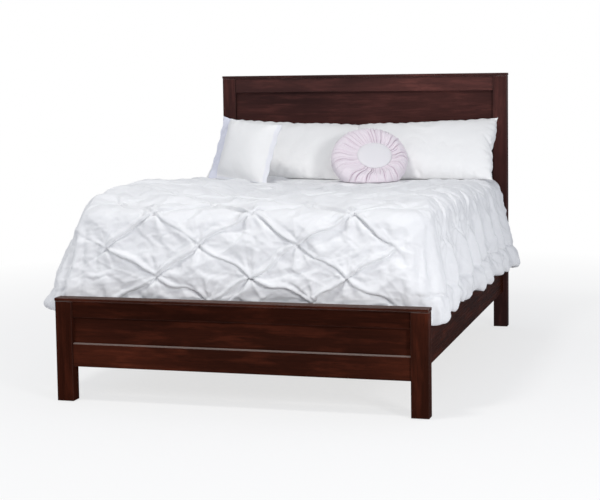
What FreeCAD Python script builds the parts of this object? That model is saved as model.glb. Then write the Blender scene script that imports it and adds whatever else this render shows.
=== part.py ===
import FreeCAD, Part
import math
import os
from FreeCAD import Vector

# Queen size panel bed, made up with a box foundation, a mattress, a quilted comforter,
# two sleeping pillows, a small lumbar pillow and a round gathered cushion.
# The origin is on the floor under the middle of the bed. X runs across the bed, Y runs
# from the footboard to the headboard and Z is up. All sizes are in millimetres.

# Mattress and foundation
mattress_width = 1524.0
mattress_length = 2032.0
mattress_height = 325.0
mattress_corner = 70.0
mattress_edge = 20.0
cover_thickness = 6.0
base_foam_height = 55.0
top_foam_height = 75.0
foundation_height = 220.0
foundation_corner = 40.0
foundation_edge = 2.0
foundation_cover_thickness = 4.0
foundation_board = 20.0
foundation_slat_count = 8
foundation_slat_width = 70.0

# Room left round the bedding inside the frame
side_room = 14.0
foot_room = 57.0
head_room = 4.0

# Posts and caps
post_width = 76.0
foot_post_depth = 57.0
head_post_depth = 60.0
foot_height = 454.0
head_height = 1410.0
cap_thickness = 16.0
cap_overhang = 1.5
cap_bevel = 4.0
edge_ease = 2.0
glide_height = 3.0
glide_radius = 14.0

# Rails and panels between the posts
board_thickness = 38.0
face_setback = 8.0
foot_top_rail_height = 72.0
foot_bottom_rail_height = 102.0
foot_bottom_rail_z = 154.0
head_top_rail_height = 81.0
head_middle_rail_height = 110.0
head_middle_rail_z = 470.0
head_lower_rail_height = 102.0
head_lower_rail_z = 205.0
panel_thickness = 12.0
panel_setback = 15.0
groove_depth = 10.0
groove_clearance = 0.2
rail_bevel = 4.0
tenon_thickness = 13.0
tenon_length = 40.0
tenon_shoulder = 12.0
mortise_clearance = 0.1
mortise_end_room = 2.5

# Side rails, cleats and slats
side_rail_thickness = 26.0
side_rail_height = 190.0
side_rail_z = 197.0
side_rail_inset = 23.0
cleat_width = 38.0
cleat_height = 25.0
cleat_raise = 26.0
cleat_end_room = 90.0
slat_count = 7
slat_width = 89.0
slat_thickness = 19.0
slat_end_room = 1.0
first_slat_room = 60.0

# Centre beam, its brackets, legs and levelling feet
beam_width = 89.0
beam_height = 38.0
bracket_thickness = 3.0
bracket_width = 110.0
bracket_reach = 40.0
bracket_back_height = 42.0
leg_side = 44.0
leg_count = 2
foot_pad_radius = 20.0
foot_pad_height = 8.0
foot_stud_radius = 4.0
foot_stud_length = 46.0
foot_travel = 12.0
foot_stop_room = 2.0
thread_clearance = 0.05
insert_radius = 8.0
insert_length = 16.0

# Hook plates that join the side rails to the posts
plate_thickness = 2.5
plate_length = 64.0
plate_height = 120.0
hook_reach = 15.0
hook_height = 24.0
hook_spacing = 76.0
hook_pin_radius = 3.0
hook_pin_length = 44.0
hook_clearance = 0.4
pin_clearance = 0.05

# Comforter
comforter_thickness = 30.0
rest_gap = 0.3
comforter_edge_round = 42.0
comforter_head_room = 50.0
hem_over_rail = 8.0
hem_fall = 50.0
front_hem_over_rail = 14.0
wide_flare = 104.0
narrow_flare = 54.0
front_flare = 5.0
side_fold_depth = 15.0
front_fold_depth = 5.0
comforter_corner = 75.0

# Pillows and cushion
pillow_width = 752.0
pillow_height = 490.0
pillow_thickness = 190.0
pillow_draw_in = 26.0
pillow_edge = 12.0
pillow_lean = 50.0
pillow_parting = 14.0
pillow_sink = 12.0
pillow_press = 6.0
pillow_lift_room = 3.0
lumbar_width = 440.0
lumbar_height = 345.0
lumbar_thickness = 130.0
lumbar_draw_in = 14.0
lumbar_edge = 10.0
lumbar_lean = 16.0
lumbar_turn = -28.0
lumbar_x = -540.0
lumbar_stand_off = 150.0
lumbar_sink = 8.0
cushion_radius = 214.0
cushion_thickness = 120.0
cushion_lean = 48.0
cushion_x = 143.0
cushion_sink = 14.0
cushion_gather_count = 20
cushion_gather_depth = 9.0
disc_thickness = 14.0

cut_overrun = 5.0
same_place = 0.001

# Places worked out from the sizes above
rail_gap = mattress_width + 2 * side_room
bed_width = rail_gap + 2 * (side_rail_thickness + side_rail_inset)
bed_length = foot_post_depth + foot_room + mattress_length + head_room + head_post_depth
half_width = bed_width / 2
foot_front = -bed_length / 2
head_back = bed_length / 2
foot_post_back = foot_front + foot_post_depth
head_post_front = head_back - head_post_depth
post_inner = half_width - post_width
foot_cap_z = foot_height - cap_thickness
head_cap_z = head_height - cap_thickness
foot_rail_front = foot_front + face_setback
foot_rail_back = foot_rail_front + board_thickness
head_rail_front = head_post_front + face_setback
rail_inner = rail_gap / 2
side_rail_top = side_rail_z + side_rail_height
cleat_z = side_rail_z + cleat_raise
slat_z = cleat_z + cleat_height
foundation_z = slat_z + slat_thickness
mattress_z = foundation_z + foundation_height
mattress_top = mattress_z + mattress_height
mattress_foot = foot_post_back + foot_room
mattress_head = head_post_front - head_room
comforter_top = mattress_top + rest_gap + comforter_thickness
beam_z = slat_z - beam_height
leg_bottom = foot_pad_height + foot_travel + foot_stop_room


def box(x0, x1, y0, y1, z0, z1):
    return Part.makeBox(x1 - x0, y1 - y0, z1 - z0, Vector(x0, y0, z0))


def rod(radius, length, start, direction):
    return Part.makeCylinder(radius, length, start, direction)


def straight_edges(solid, axis):
    """Edges of the solid that run along X (0), Y (1) or Z (2)."""
    found = []
    for edge in solid.Edges:
        size = edge.BoundBox
        spans = (size.XLength, size.YLength, size.ZLength)
        if all(spans[i] < same_place for i in range(3) if i != axis) and spans[axis] > same_place:
            found.append(edge)
    return found


def eased(solid, axis, width):
    """The solid with the arrises along one axis planed off."""
    return solid.makeChamfer(width, straight_edges(solid, axis))


def flat_faced(solid):
    """The solid with each of its flat patches rebuilt as a true plane."""
    faces = []
    for face in solid.Faces:
        points = [vertex.Point for vertex in face.OuterWire.OrderedVertexes]
        faces.append(Part.Face(Part.makePolygon(points + points[:1])))
    shell = Part.Shell(faces)
    shell.sewShape()
    return Part.Solid(shell)


def spread(start, end, count):
    """Centres of count things with equal room between and beside them."""
    step = (end - start) / count
    return [start + step * (i + 0.5) for i in range(count)]


def save(name, *solids):
    shape = solids[0] if len(solids) == 1 else Part.makeCompound(solids)
    shape.exportStep("parts/" + name + ".step")


# Frame: posts with their mortises and grooves

def tenon_zone(z0, z1, front, clearance):
    """Depth and height range of the tenon on a rail that spans z0 to z1."""
    middle = front + board_thickness / 2
    half = tenon_thickness / 2 + clearance
    return middle - half, middle + half, z0 + tenon_shoulder - clearance, z1 - tenon_shoulder + clearance


def post(side, front, depth, top, rail_front, rails, panel_z, slot_face):
    """A post on side -1 or 1, mortised for rails given as (z0, z1) pairs."""
    outer, inner = side * half_width, side * post_inner
    x0, x1 = min(outer, inner), max(outer, inner)
    solid = eased(box(x0, x1, front, front + depth, glide_height, top), 2, edge_ease)
    reach = inner + side * (tenon_length + mortise_end_room)
    m0, m1 = min(inner - side * cut_overrun, reach), max(inner - side * cut_overrun, reach)
    for z0, z1 in rails:
        y0, y1, t0, t1 = tenon_zone(z0, z1, rail_front, mortise_clearance)
        solid = solid.cut(box(m0, m1, y0, y1, t0, t1))
    groove_end = inner + side * groove_depth
    g0, g1 = min(inner - side * cut_overrun, groove_end), max(inner - side * cut_overrun, groove_end)
    panel_front = rail_front + panel_setback
    solid = solid.cut(box(g0, g1, panel_front - groove_clearance,
                          panel_front + panel_thickness + groove_clearance,
                          panel_z[0] - groove_depth, panel_z[1] + groove_depth))
    for cutter in hook_slots(side, slot_face):
        solid = solid.cut(cutter)
    return solid


def rail(front, z0, z1, panel_above, panel_below):
    """A cross rail with a tenon at each end and a groove where a panel meets it."""
    solid = box(-post_inner, post_inner, front, front + board_thickness, z0, z1)
    bevelled = [e for e in straight_edges(solid, 0)
                if abs(e.CenterOfMass.y - front) < same_place
                and ((panel_above and e.CenterOfMass.z > z0 + same_place)
                     or (panel_below and e.CenterOfMass.z < z1 - same_place))]
    if bevelled:
        solid = solid.makeChamfer(rail_bevel, bevelled)
    y0, y1, t0, t1 = tenon_zone(z0, z1, front, 0.0)
    solid = solid.fuse(box(-post_inner - tenon_length, post_inner + tenon_length, y0, y1, t0, t1))
    panel_front = front + panel_setback
    groove = (panel_front - groove_clearance, panel_front + panel_thickness + groove_clearance)
    if panel_above:
        solid = solid.cut(box(-post_inner, post_inner, *groove, z1 - groove_depth, z1 + cut_overrun))
    if panel_below:
        solid = solid.cut(box(-post_inner, post_inner, *groove, z0 - cut_overrun, z0 + groove_depth))
    return solid.removeSplitter()


def panel(front, z0, z1):
    """A flat panel let into the grooves round an opening from z0 to z1."""
    reach = groove_depth - groove_clearance
    y0 = front + panel_setback
    return box(-post_inner - reach, post_inner + reach, y0, y0 + panel_thickness,
               z0 - reach, z1 + reach)


def cap(front, depth, z0):
    """The board along the top, bevelled under its edge where it meets posts and rail."""
    reach = half_width + cap_overhang
    solid = box(-reach, reach, front - cap_overhang, front + depth + cap_overhang,
                z0, z0 + cap_thickness)
    under = [e for e in straight_edges(solid, 0) + straight_edges(solid, 1)
             if e.CenterOfMass.z < z0 + same_place]
    solid = solid.makeChamfer(cap_bevel, under)
    over = [e for e in straight_edges(solid, 0) + straight_edges(solid, 1)
            if e.CenterOfMass.z > z0 + cap_thickness - same_place]
    return solid.makeChamfer(edge_ease, over)


# Hooks that join the side rails to the posts

hook_middle = side_rail_z + side_rail_height / 2
hook_levels = (hook_middle - hook_spacing / 2, hook_middle + hook_spacing / 2)


def rail_ends():
    """Each end of each side rail: side, face of the post there, and way into the post."""
    return [(side, face, way) for side in (-1, 1)
            for face, way in ((foot_post_back, -1), (head_post_front, 1))]


def plate_span(side):
    """X range of a hook plate, let in flush with the rail's inner face."""
    a, b = side * rail_inner, side * (rail_inner + plate_thickness)
    return min(a, b), max(a, b)


def hook_plate(side, face, way):
    x0, x1 = plate_span(side)
    back = face - way * plate_length
    low = hook_middle - plate_height / 2
    solid = box(x0, x1, min(face, back), max(face, back), low, low + plate_height)
    tip = face + way * hook_reach
    for z in hook_levels:
        hook = box(x0, x1, min(face - way * cut_overrun, tip), max(face - way * cut_overrun, tip),
                   z - hook_height / 2, z + hook_height / 2)
        pin_y = face + way * hook_reach / 2
        notch = hook_pin_radius + hook_clearance / 2
        hook = hook.cut(rod(notch, x1 - x0, Vector(x0, pin_y, z), Vector(1, 0, 0)))
        hook = hook.cut(box(x0, x1, pin_y - notch, pin_y + notch, z - hook_height / 2, z))
        solid = solid.fuse(hook)
    return solid.removeSplitter()


def hook_slots(side, face):
    """Slots in the post for the hooks, with cross holes for the pins that they catch."""
    way = -1 if face == foot_post_back else 1
    x0, x1 = plate_span(side)
    mouth, end = face - way * cut_overrun, face + way * (hook_reach + hook_clearance)
    cutters = []
    for z in hook_levels:
        cutters.append(box(x0 - hook_clearance, x1 + hook_clearance, min(mouth, end), max(mouth, end),
                           z - hook_height / 2 - hook_clearance, z + hook_height))
        cutters.append(hook_pin(side, face, way, z, pin_clearance))
    return cutters


def hook_pin(side, face, way, z, clearance=0.0):
    start = Vector(side * post_inner, face + way * hook_reach / 2, z)
    return rod(hook_pin_radius + clearance, hook_pin_length, start, Vector(side, 0, 0))


# Side rails, cleats, slats and the centre support

def side_rail(side):
    a, b = side * rail_inner, side * (rail_inner + side_rail_thickness)
    solid = eased(box(min(a, b), max(a, b), foot_post_back, head_post_front,
                      side_rail_z, side_rail_top), 1, edge_ease)
    x0, x1 = plate_span(side)
    low = hook_middle - plate_height / 2
    for end_side, face, way in rail_ends():
        if end_side == side:
            back = face - way * plate_length
            solid = solid.cut(box(x0, x1, min(face, back), max(face, back), low, low + plate_height))
    return solid


def cleat(side):
    a, b = side * rail_inner, side * (rail_inner - cleat_width)
    return box(min(a, b), max(a, b), foot_post_back + cleat_end_room,
               head_post_front - cleat_end_room, cleat_z, cleat_z + cleat_height)


slat_places = spread(foot_post_back + first_slat_room, head_post_front - first_slat_room, slat_count)


def slat(y):
    reach = rail_inner - slat_end_room
    return box(-reach, reach, y - slat_width / 2, y + slat_width / 2, slat_z, foundation_z)


beam_start = foot_rail_back + bracket_thickness
beam_end = head_rail_front - bracket_thickness


def beam_bracket(face, way):
    """An angle bracket: its back on the cross rail, its shelf under the beam."""
    back = box(-bracket_width / 2, bracket_width / 2, min(face, face + way * bracket_thickness),
               max(face, face + way * bracket_thickness), beam_z - bracket_thickness,
               beam_z - bracket_thickness + bracket_back_height)
    shelf = box(-bracket_width / 2, bracket_width / 2, min(face, face + way * bracket_reach),
                max(face, face + way * bracket_reach), beam_z - bracket_thickness, beam_z)
    return back.fuse(shelf).removeSplitter()


leg_places = [beam_start + (beam_end - beam_start) * (i + 1) / (leg_count + 1)
              for i in range(leg_count)]


def centre_leg(y):
    half = leg_side / 2
    solid = eased(box(-half, half, y - half, y + half, leg_bottom, beam_z), 2, edge_ease)
    up = Vector(0, 0, 1)
    bottom = Vector(0, y, leg_bottom)
    bore_length = foot_stud_length + foot_travel
    solid = solid.cut(rod(foot_stud_radius + rest_gap, bore_length, bottom, up))
    return solid.cut(rod(insert_radius, insert_length, bottom, up))


def leg_insert(y):
    bottom, up = Vector(0, y, leg_bottom), Vector(0, 0, 1)
    sleeve = rod(insert_radius, insert_length, bottom, up)
    return sleeve.cut(rod(foot_stud_radius + thread_clearance, insert_length, bottom, up))


def levelling_foot(y):
    """A hexagonal pad on the floor with its threaded stud up in the leg."""
    corners = [Vector(foot_pad_radius * math.cos(math.radians(60 * i)),
                      y + foot_pad_radius * math.sin(math.radians(60 * i)), 0) for i in range(7)]
    pad = Part.Face(Part.makePolygon(corners)).extrude(Vector(0, 0, foot_pad_height))
    stud = rod(foot_stud_radius, foot_stud_length, Vector(0, y, foot_pad_height), Vector(0, 0, 1))
    return pad.fuse(stud)


def glide(x, y):
    return rod(glide_radius, glide_height, Vector(x, y, 0), Vector(0, 0, 1))


# Foundation and mattress

def rounded_block(half_x, y0, y1, z0, z1, corner):
    block = box(-half_x, half_x, y0, y1, z0, z1)
    return block.makeFillet(corner, straight_edges(block, 2))


def bevelled_rims(solid, edge, low, high):
    """The solid with its bottom rim, its top rim or both bevelled."""
    size = solid.BoundBox
    rims = [e for e in solid.Edges if e.BoundBox.ZLength < same_place
            and ((low and e.BoundBox.ZMax < size.ZMin + same_place)
                 or (high and e.BoundBox.ZMin > size.ZMax - same_place))]
    return solid.makeChamfer(edge, rims) if rims and edge > 0 else solid


def inner_edge(edge, wall):
    """Bevel of a cavity whose wall keeps its thickness across the bevel."""
    return edge - wall * (2 - math.sqrt(2))


def cover(y0, y1, z0, z1, corner, wall, edge):
    """A sewn fabric cover: a closed skin of even thickness."""
    half_x = mattress_width / 2
    outer = bevelled_rims(rounded_block(half_x, y0, y1, z0, z1, corner), edge, True, True)
    inner = rounded_block(half_x - wall, y0 + wall, y1 - wall, z0 + wall, z1 - wall, corner - wall)
    return outer.cut(bevelled_rims(inner, inner_edge(edge, wall), True, True))


def foundation_frame():
    """Box frame of boards on edge, open in the middle, that carries the deck slats."""
    wall = foundation_cover_thickness
    half_x = mattress_width / 2 - wall
    y0, y1 = mattress_foot + wall, mattress_head - wall
    z0, z1 = foundation_z + wall, mattress_z - wall - foundation_board
    outer = rounded_block(half_x, y0, y1, z0, z1, foundation_corner - wall)
    return outer.cut(rounded_block(half_x - foundation_board, y0 + foundation_board,
                                   y1 - foundation_board, z0 - cut_overrun, z1 + cut_overrun,
                                   foundation_corner - wall - foundation_board))


def foundation_slats():
    wall = foundation_cover_thickness
    top = mattress_z - wall
    half_x = mattress_width / 2 - foundation_corner
    half = foundation_slat_width / 2
    places = spread(mattress_foot + wall, mattress_head - wall, foundation_slat_count)
    return [box(-half_x, half_x, y - half, y + half, top - foundation_board, top) for y in places]


def mattress_layers():
    """Base foam, spring unit and top foam, stacked inside the cover."""
    wall = cover_thickness
    half_x = mattress_width / 2 - wall
    y0, y1 = mattress_foot + wall, mattress_head - wall
    levels = (mattress_z + wall, mattress_z + wall + base_foam_height,
              mattress_top - wall - top_foam_height, mattress_top - wall)
    edge = inner_edge(mattress_edge, wall)
    base, springs, top = [rounded_block(half_x, y0, y1, z0, z1, mattress_corner - wall)
                          for z0, z1 in zip(levels, levels[1:])]
    return bevelled_rims(base, edge, True, False), springs, bevelled_rims(top, edge, False, True)


# Comforter: an outer skin lofted down the sides with growing folds, less an inner one

# Going down from the top: share of the drop, of the flare and of the fold depth
level_shares = ((0.14, 0.03, 0.05), (0.34, 0.2, 0.4), (0.66, 0.55, 0.75), (1.0, 1.0, 1.0))
# Where the folds of a side start, as shares of its length, and how deep each one is
fold_place_share = (0.0, 0.07, 0.13, 0.21, 0.27, 0.34, 0.4, 0.47, 0.54, 0.6, 0.67, 0.73, 0.8,
                    0.87, 0.93, 1.0)
fold_depth_share = (0.9, 0.6, 0.8, 1.0, 0.7, 0.9, 1.0, 0.6, 0.9, 0.7, 1.0, 0.8, 0.6, 0.8, 0.9)
front_place_share = (0.0, 0.16, 0.28, 0.44, 0.58, 0.72, 0.86, 1.0)
front_depth_share = (0.9, 0.6, 0.8, 1.0, 0.7, 0.6, 0.9)
round_shares = ((1.0, 0.0), (0.3, 0.3), (0.0, 1.0))
top_fold_share = 0.04

hem_foot = side_rail_top + hem_over_rail
comforter_half = mattress_width / 2 + rest_gap + comforter_thickness
comforter_front = mattress_foot - rest_gap - comforter_thickness
comforter_head = head_post_front - comforter_head_room


def fold_arcs(start, end, places, depths, out, depth, at):
    """Arcs in line from start to end that swell out and draw in by turns."""
    line = end - start
    arcs = []
    for i, size in enumerate(depths):
        a, b = start + line * places[i], start + line * places[i + 1]
        way = 1 if i % 2 == 0 else -1
        arcs.append(Part.Arc(at(a), at((a + b) / 2 + out * (way * depth * size)), at(b)).toShape())
    return arcs


def comforter_outline(z_foot, z_head, flare, fold, inset, overrun):
    """One level's closed outline, open side to the headboard. No fold gives straight sides."""
    front = comforter_front - front_flare * flare + inset
    head = comforter_head + overrun
    corner = comforter_corner - inset
    slope = (z_head - z_foot) / (comforter_head - comforter_front)

    def at(point):
        return Vector(point.x, point.y, z_foot + slope * (point.y - comforter_front))

    def side(start, end, places, depths, out, depth):
        if fold:
            return fold_arcs(start, end, places, depths, out, depth * fold, at)
        return [Part.makeLine(at(start), at(end))]

    right_foot = comforter_half + narrow_flare * flare - inset
    right_head = comforter_half + wide_flare * flare - inset
    left_foot, left_head = right_head, right_foot
    a = Vector(right_head, head)
    b = Vector(right_foot, front + corner)
    c = Vector(right_foot - corner, front)
    d = Vector(-left_foot + corner, front)
    e = Vector(-left_foot, front + corner)
    f = Vector(-left_head, head)
    turn = corner * (1 - math.sqrt(0.5))
    right_places = [1 - s for s in reversed(fold_place_share)]
    edges = side(a, b, right_places, fold_depth_share, Vector(1, 0, 0), side_fold_depth)
    edges.append(Part.Arc(at(b), at(Vector(right_foot - turn, front + turn)), at(c)).toShape())
    edges += side(c, d, front_place_share, front_depth_share, Vector(0, -1, 0), front_fold_depth)
    edges.append(Part.Arc(at(d), at(Vector(-left_foot + turn, front + turn)), at(e)).toShape())
    edges += side(e, f, fold_place_share, fold_depth_share, Vector(-1, 0, 0), side_fold_depth)
    edges.append(Part.makeLine(at(f), at(a)))
    return Part.Wire(edges)


def comforter_outside():
    """The body that the outer skin encloses, from the hem up to the flat top."""
    drop_foot = comforter_top - hem_foot
    drop_head = drop_foot + hem_fall
    wires = [comforter_outline(comforter_top - drop * drop_foot, comforter_top - drop * drop_head,
                               flare, fold, 0.0, 0.0)
             for drop, flare, fold in reversed(level_shares)]
    for down, inward in round_shares:
        z = comforter_top - comforter_edge_round * down
        wires.append(comforter_outline(z, z, 0.0, top_fold_share, comforter_edge_round * inward, 0.0))
    return Part.makeLoft(wires, True, True)


def comforter_inside():
    """The body under the inner skin, run on past the hem and the head end."""
    top = comforter_top - comforter_thickness
    drop_foot = comforter_top - hem_foot
    drop_head = drop_foot + hem_fall
    lowest, above = level_shares[-1], level_shares[-2]
    more = hem_fall / (drop_foot * (lowest[0] - above[0]))
    run_on = [low + (low - up) * more for low, up in zip(lowest, above)]
    wires = [comforter_outline(comforter_top - drop * drop_foot, comforter_top - drop * drop_head,
                               flare, 0.0, comforter_thickness, cut_overrun)
             for drop, flare, fold in [run_on] + list(reversed(level_shares))]
    wires.append(comforter_outline(top, top, 0.0, 0.0, comforter_thickness, cut_overrun))
    return Part.makeLoft(wires, True, True)


def comforter():
    solid = comforter_outside().cut(comforter_inside())
    beside_rail = rail_inner + side_rail_thickness + rest_gap
    low = hem_foot - 2 * hem_fall
    clear = box(-beside_rail, beside_rail, foot_post_back, comforter_head + cut_overrun, low,
                side_rail_top + front_hem_over_rail)
    return solid.cut(clear)


# Pillows

# Share of the outline's size and of the crown at each level from the seam outwards
crown_level_shares = ((1.0, 0.0), (0.95, 0.32), (0.86, 0.6), (0.71, 0.82), (0.5, 0.95), (0.25, 1.0))
# One side of the outline from corner to corner: place along it and share of the draw in
long_side_shares = ((0.0, 0.0), (0.1, 0.5), (0.3, 0.9), (0.5, 1.0), (0.7, 0.9), (0.9, 0.5))
short_side_shares = ((0.0, 0.0), (0.16, 0.55), (0.5, 1.0), (0.84, 0.55))


def pillow_outline(width, height, y, draw_in):
    """An outline with its four corners out and its sides drawn in between them."""
    corners = [Vector(-width / 2, y, -height / 2), Vector(width / 2, y, -height / 2),
               Vector(width / 2, y, height / 2), Vector(-width / 2, y, height / 2)]
    points = []
    for i, start in enumerate(corners):
        along = corners[(i + 1) % 4] - start
        inward = Vector(0, -1, 0).cross(along).normalize()
        shares = short_side_shares if i % 2 else long_side_shares
        points += [start + along * place + inward * (draw_in * depth) for place, depth in shares]
    return Part.makePolygon(points + points[:1])


def pillow(width, height, thickness, draw_in, edge):
    """An upright pillow: seamed round its edge, crowned to the front and to the back."""
    wires = []
    for way in (-1, 1):
        levels = crown_level_shares if way > 0 else reversed(crown_level_shares)
        for size, crown in levels:
            y = way * (edge / 2 + (thickness - edge) / 2 * crown)
            wires.append(pillow_outline(width * size, height * size, y, draw_in * size))
    return flat_faced(Part.makeLoft(wires, True, True))


def leaned(solid, lean, turn, centre):
    solid.rotate(Vector(0, 0, 0), Vector(1, 0, 0), -lean)
    solid.rotate(Vector(0, 0, 0), Vector(0, 0, 1), turn)
    solid.translate(centre)
    return solid


def rested(solid):
    """The solid flattened where it rests on the comforter."""
    size = solid.BoundBox
    floor = comforter_top + rest_gap
    return solid.cut(box(size.XMin - cut_overrun, size.XMax + cut_overrun, size.YMin - cut_overrun,
                         size.YMax + cut_overrun, size.ZMin - cut_overrun, floor))


lean = math.radians(pillow_lean)
pillow_y = head_post_front - pillow_lift_room - pillow_height / 2 * math.sin(lean) + pillow_press
pillow_z = comforter_top + pillow_height / 2 * math.cos(lean) - pillow_sink


def back_pillow(side):
    solid = pillow(pillow_width, pillow_height, pillow_thickness, pillow_draw_in, pillow_edge)
    x = side * (pillow_width + pillow_parting) / 2
    solid = rested(leaned(solid, pillow_lean, 0.0, Vector(x, pillow_y, pillow_z)))
    size = solid.BoundBox
    wall = head_post_front - pillow_lift_room
    return solid.cut(box(size.XMin - cut_overrun, size.XMax + cut_overrun, wall,
                         size.YMax + cut_overrun, size.ZMin - cut_overrun, size.ZMax + cut_overrun))


def lumbar_pillow():
    solid = pillow(lumbar_width, lumbar_height, lumbar_thickness, lumbar_draw_in, lumbar_edge)
    tilt = math.radians(lumbar_lean)
    z = comforter_top + lumbar_height / 2 * math.cos(tilt) - lumbar_sink
    back_foot = pillow_y - pillow_height / 2 * math.sin(lean)
    return rested(leaned(solid, lumbar_lean, lumbar_turn,
                         Vector(lumbar_x, back_foot - lumbar_stand_off, z)))


# Round cushion: gathered from the rim to a plain disc in the middle of each face

# Radius and place of each level across the cushion, as shares of its radius and half thickness
gather_level_shares = ((0.43, -0.6), (0.5, -0.86), (0.62, -1.0), (0.8, -0.9), (0.94, -0.55), (1.0, 0.0),
                       (0.94, 0.55), (0.8, 0.9), (0.62, 1.0), (0.5, 0.86), (0.43, 0.6))


def gathered_outline(radius, y, depth):
    """A ring that runs in and out with each gather."""
    step = math.pi / cushion_gather_count
    points = []
    for i in range(2 * cushion_gather_count):
        r = radius - depth * (i % 2)
        points.append(Vector(r * math.cos(i * step), y, r * math.sin(i * step)))
    return Part.makePolygon(points + points[:1])


def cushion_place():
    tilt = math.radians(cushion_lean)
    low = math.hypot(cushion_radius * math.cos(tilt), cushion_thickness / 2 * math.sin(tilt))
    z = comforter_top + low - cushion_sink
    apart = (pillow_thickness + cushion_thickness) / 2
    y = pillow_y - (apart - (z - pillow_z) * math.sin(lean)) / math.cos(lean)
    return Vector(cushion_x, y, z)


def round_cushion():
    half = cushion_thickness / 2
    wires = [gathered_outline(cushion_radius * size, half * place, cushion_gather_depth * size)
             for size, place in gather_level_shares]
    solid = flat_faced(Part.makeLoft(wires, True, True))
    return rested(leaned(solid, cushion_lean, 0.0, cushion_place()))


def cushion_discs():
    """The plain disc that covers the gathers' ends in the hollow of each face."""
    size, place = gather_level_shares[-1]
    radius = (cushion_radius - cushion_gather_depth) * size - rest_gap
    floor = cushion_thickness / 2 * place
    discs = []
    for way in (-1, 1):
        rim = gathered_outline(radius, way * floor, cushion_gather_depth * size)
        disc = Part.Face(rim).extrude(Vector(0, way * disc_thickness, 0))
        discs.append(leaned(disc, cushion_lean, 0.0, cushion_place()))
    return discs


def build():
    os.makedirs("parts", exist_ok=True)

    foot_rails = ((foot_bottom_rail_z, foot_bottom_rail_z + foot_bottom_rail_height),
                  (foot_cap_z - foot_top_rail_height, foot_cap_z))
    head_rails = ((head_lower_rail_z, head_lower_rail_z + head_lower_rail_height),
                  (head_middle_rail_z, head_middle_rail_z + head_middle_rail_height),
                  (head_cap_z - head_top_rail_height, head_cap_z))
    foot_opening = (foot_rails[0][1], foot_rails[1][0])
    head_opening = (head_rails[1][1], head_rails[2][0])
    for name, side in (("left", -1), ("right", 1)):
        save("foot_post_" + name, post(side, foot_front, foot_post_depth, foot_cap_z,
                                       foot_rail_front, foot_rails, foot_opening, foot_post_back))
        save("head_post_" + name, post(side, head_post_front, head_post_depth, head_cap_z,
                                       head_rail_front, head_rails, head_opening, head_post_front))
        save("side_rail_" + name, side_rail(side))
        save("rail_cleat_" + name, cleat(side))
        save("back_pillow_" + name, back_pillow(side))

    save("foot_bottom_rail", rail(foot_rail_front, *foot_rails[0], True, False))
    save("foot_top_rail", rail(foot_rail_front, *foot_rails[1], False, True))
    save("foot_panel", panel(foot_rail_front, *foot_opening))
    save("foot_cap", cap(foot_front, foot_post_depth, foot_cap_z))
    save("head_lower_rail", rail(head_rail_front, *head_rails[0], False, False))
    save("head_middle_rail", rail(head_rail_front, *head_rails[1], True, False))
    save("head_top_rail", rail(head_rail_front, *head_rails[2], False, True))
    save("head_panel", panel(head_rail_front, *head_opening))
    save("head_cap", cap(head_post_front, head_post_depth, head_cap_z))

    ends = rail_ends()
    save("rail_hook_plates", *[hook_plate(*end) for end in ends])
    save("hook_pins", *[hook_pin(*end, z) for end in ends for z in hook_levels])
    for i, y in enumerate(slat_places):
        save("slat_%d" % (i + 1), slat(y))

    save("centre_beam", box(-beam_width / 2, beam_width / 2, beam_start, beam_end, beam_z, slat_z))
    save("beam_bracket_foot", beam_bracket(foot_rail_back, 1))
    save("beam_bracket_head", beam_bracket(head_rail_front, -1))
    for i, y in enumerate(leg_places):
        save("centre_leg_%d" % (i + 1), centre_leg(y))
        save("levelling_foot_%d" % (i + 1), levelling_foot(y))
    save("leg_inserts", *[leg_insert(y) for y in leg_places])
    save("post_glides", *[glide(side * (half_width - post_width / 2), y) for side in (-1, 1)
                          for y in (foot_front + foot_post_depth / 2, head_back - head_post_depth / 2)])

    save("foundation_frame", foundation_frame())
    save("foundation_slats", *foundation_slats())
    save("foundation_cover", cover(mattress_foot, mattress_head, foundation_z, mattress_z,
                                   foundation_corner, foundation_cover_thickness, foundation_edge))
    for name, layer in zip(("base_foam", "spring_unit", "top_foam"), mattress_layers()):
        save("mattress_" + name, layer)
    save("mattress_cover", cover(mattress_foot, mattress_head, mattress_z, mattress_top,
                                 mattress_corner, cover_thickness, mattress_edge))
    save("comforter", comforter())
    save("lumbar_pillow", lumbar_pillow())
    save("round_cushion", round_cushion())
    save("cushion_discs", *cushion_discs())


build()
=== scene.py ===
import math
import random

import bmesh
import bpy
from bpy.props import FloatProperty, FloatVectorProperty, IntProperty, PointerProperty
from bpy.types import Operator, Panel, PropertyGroup
from mathutils import Matrix, Vector, noise


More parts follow.
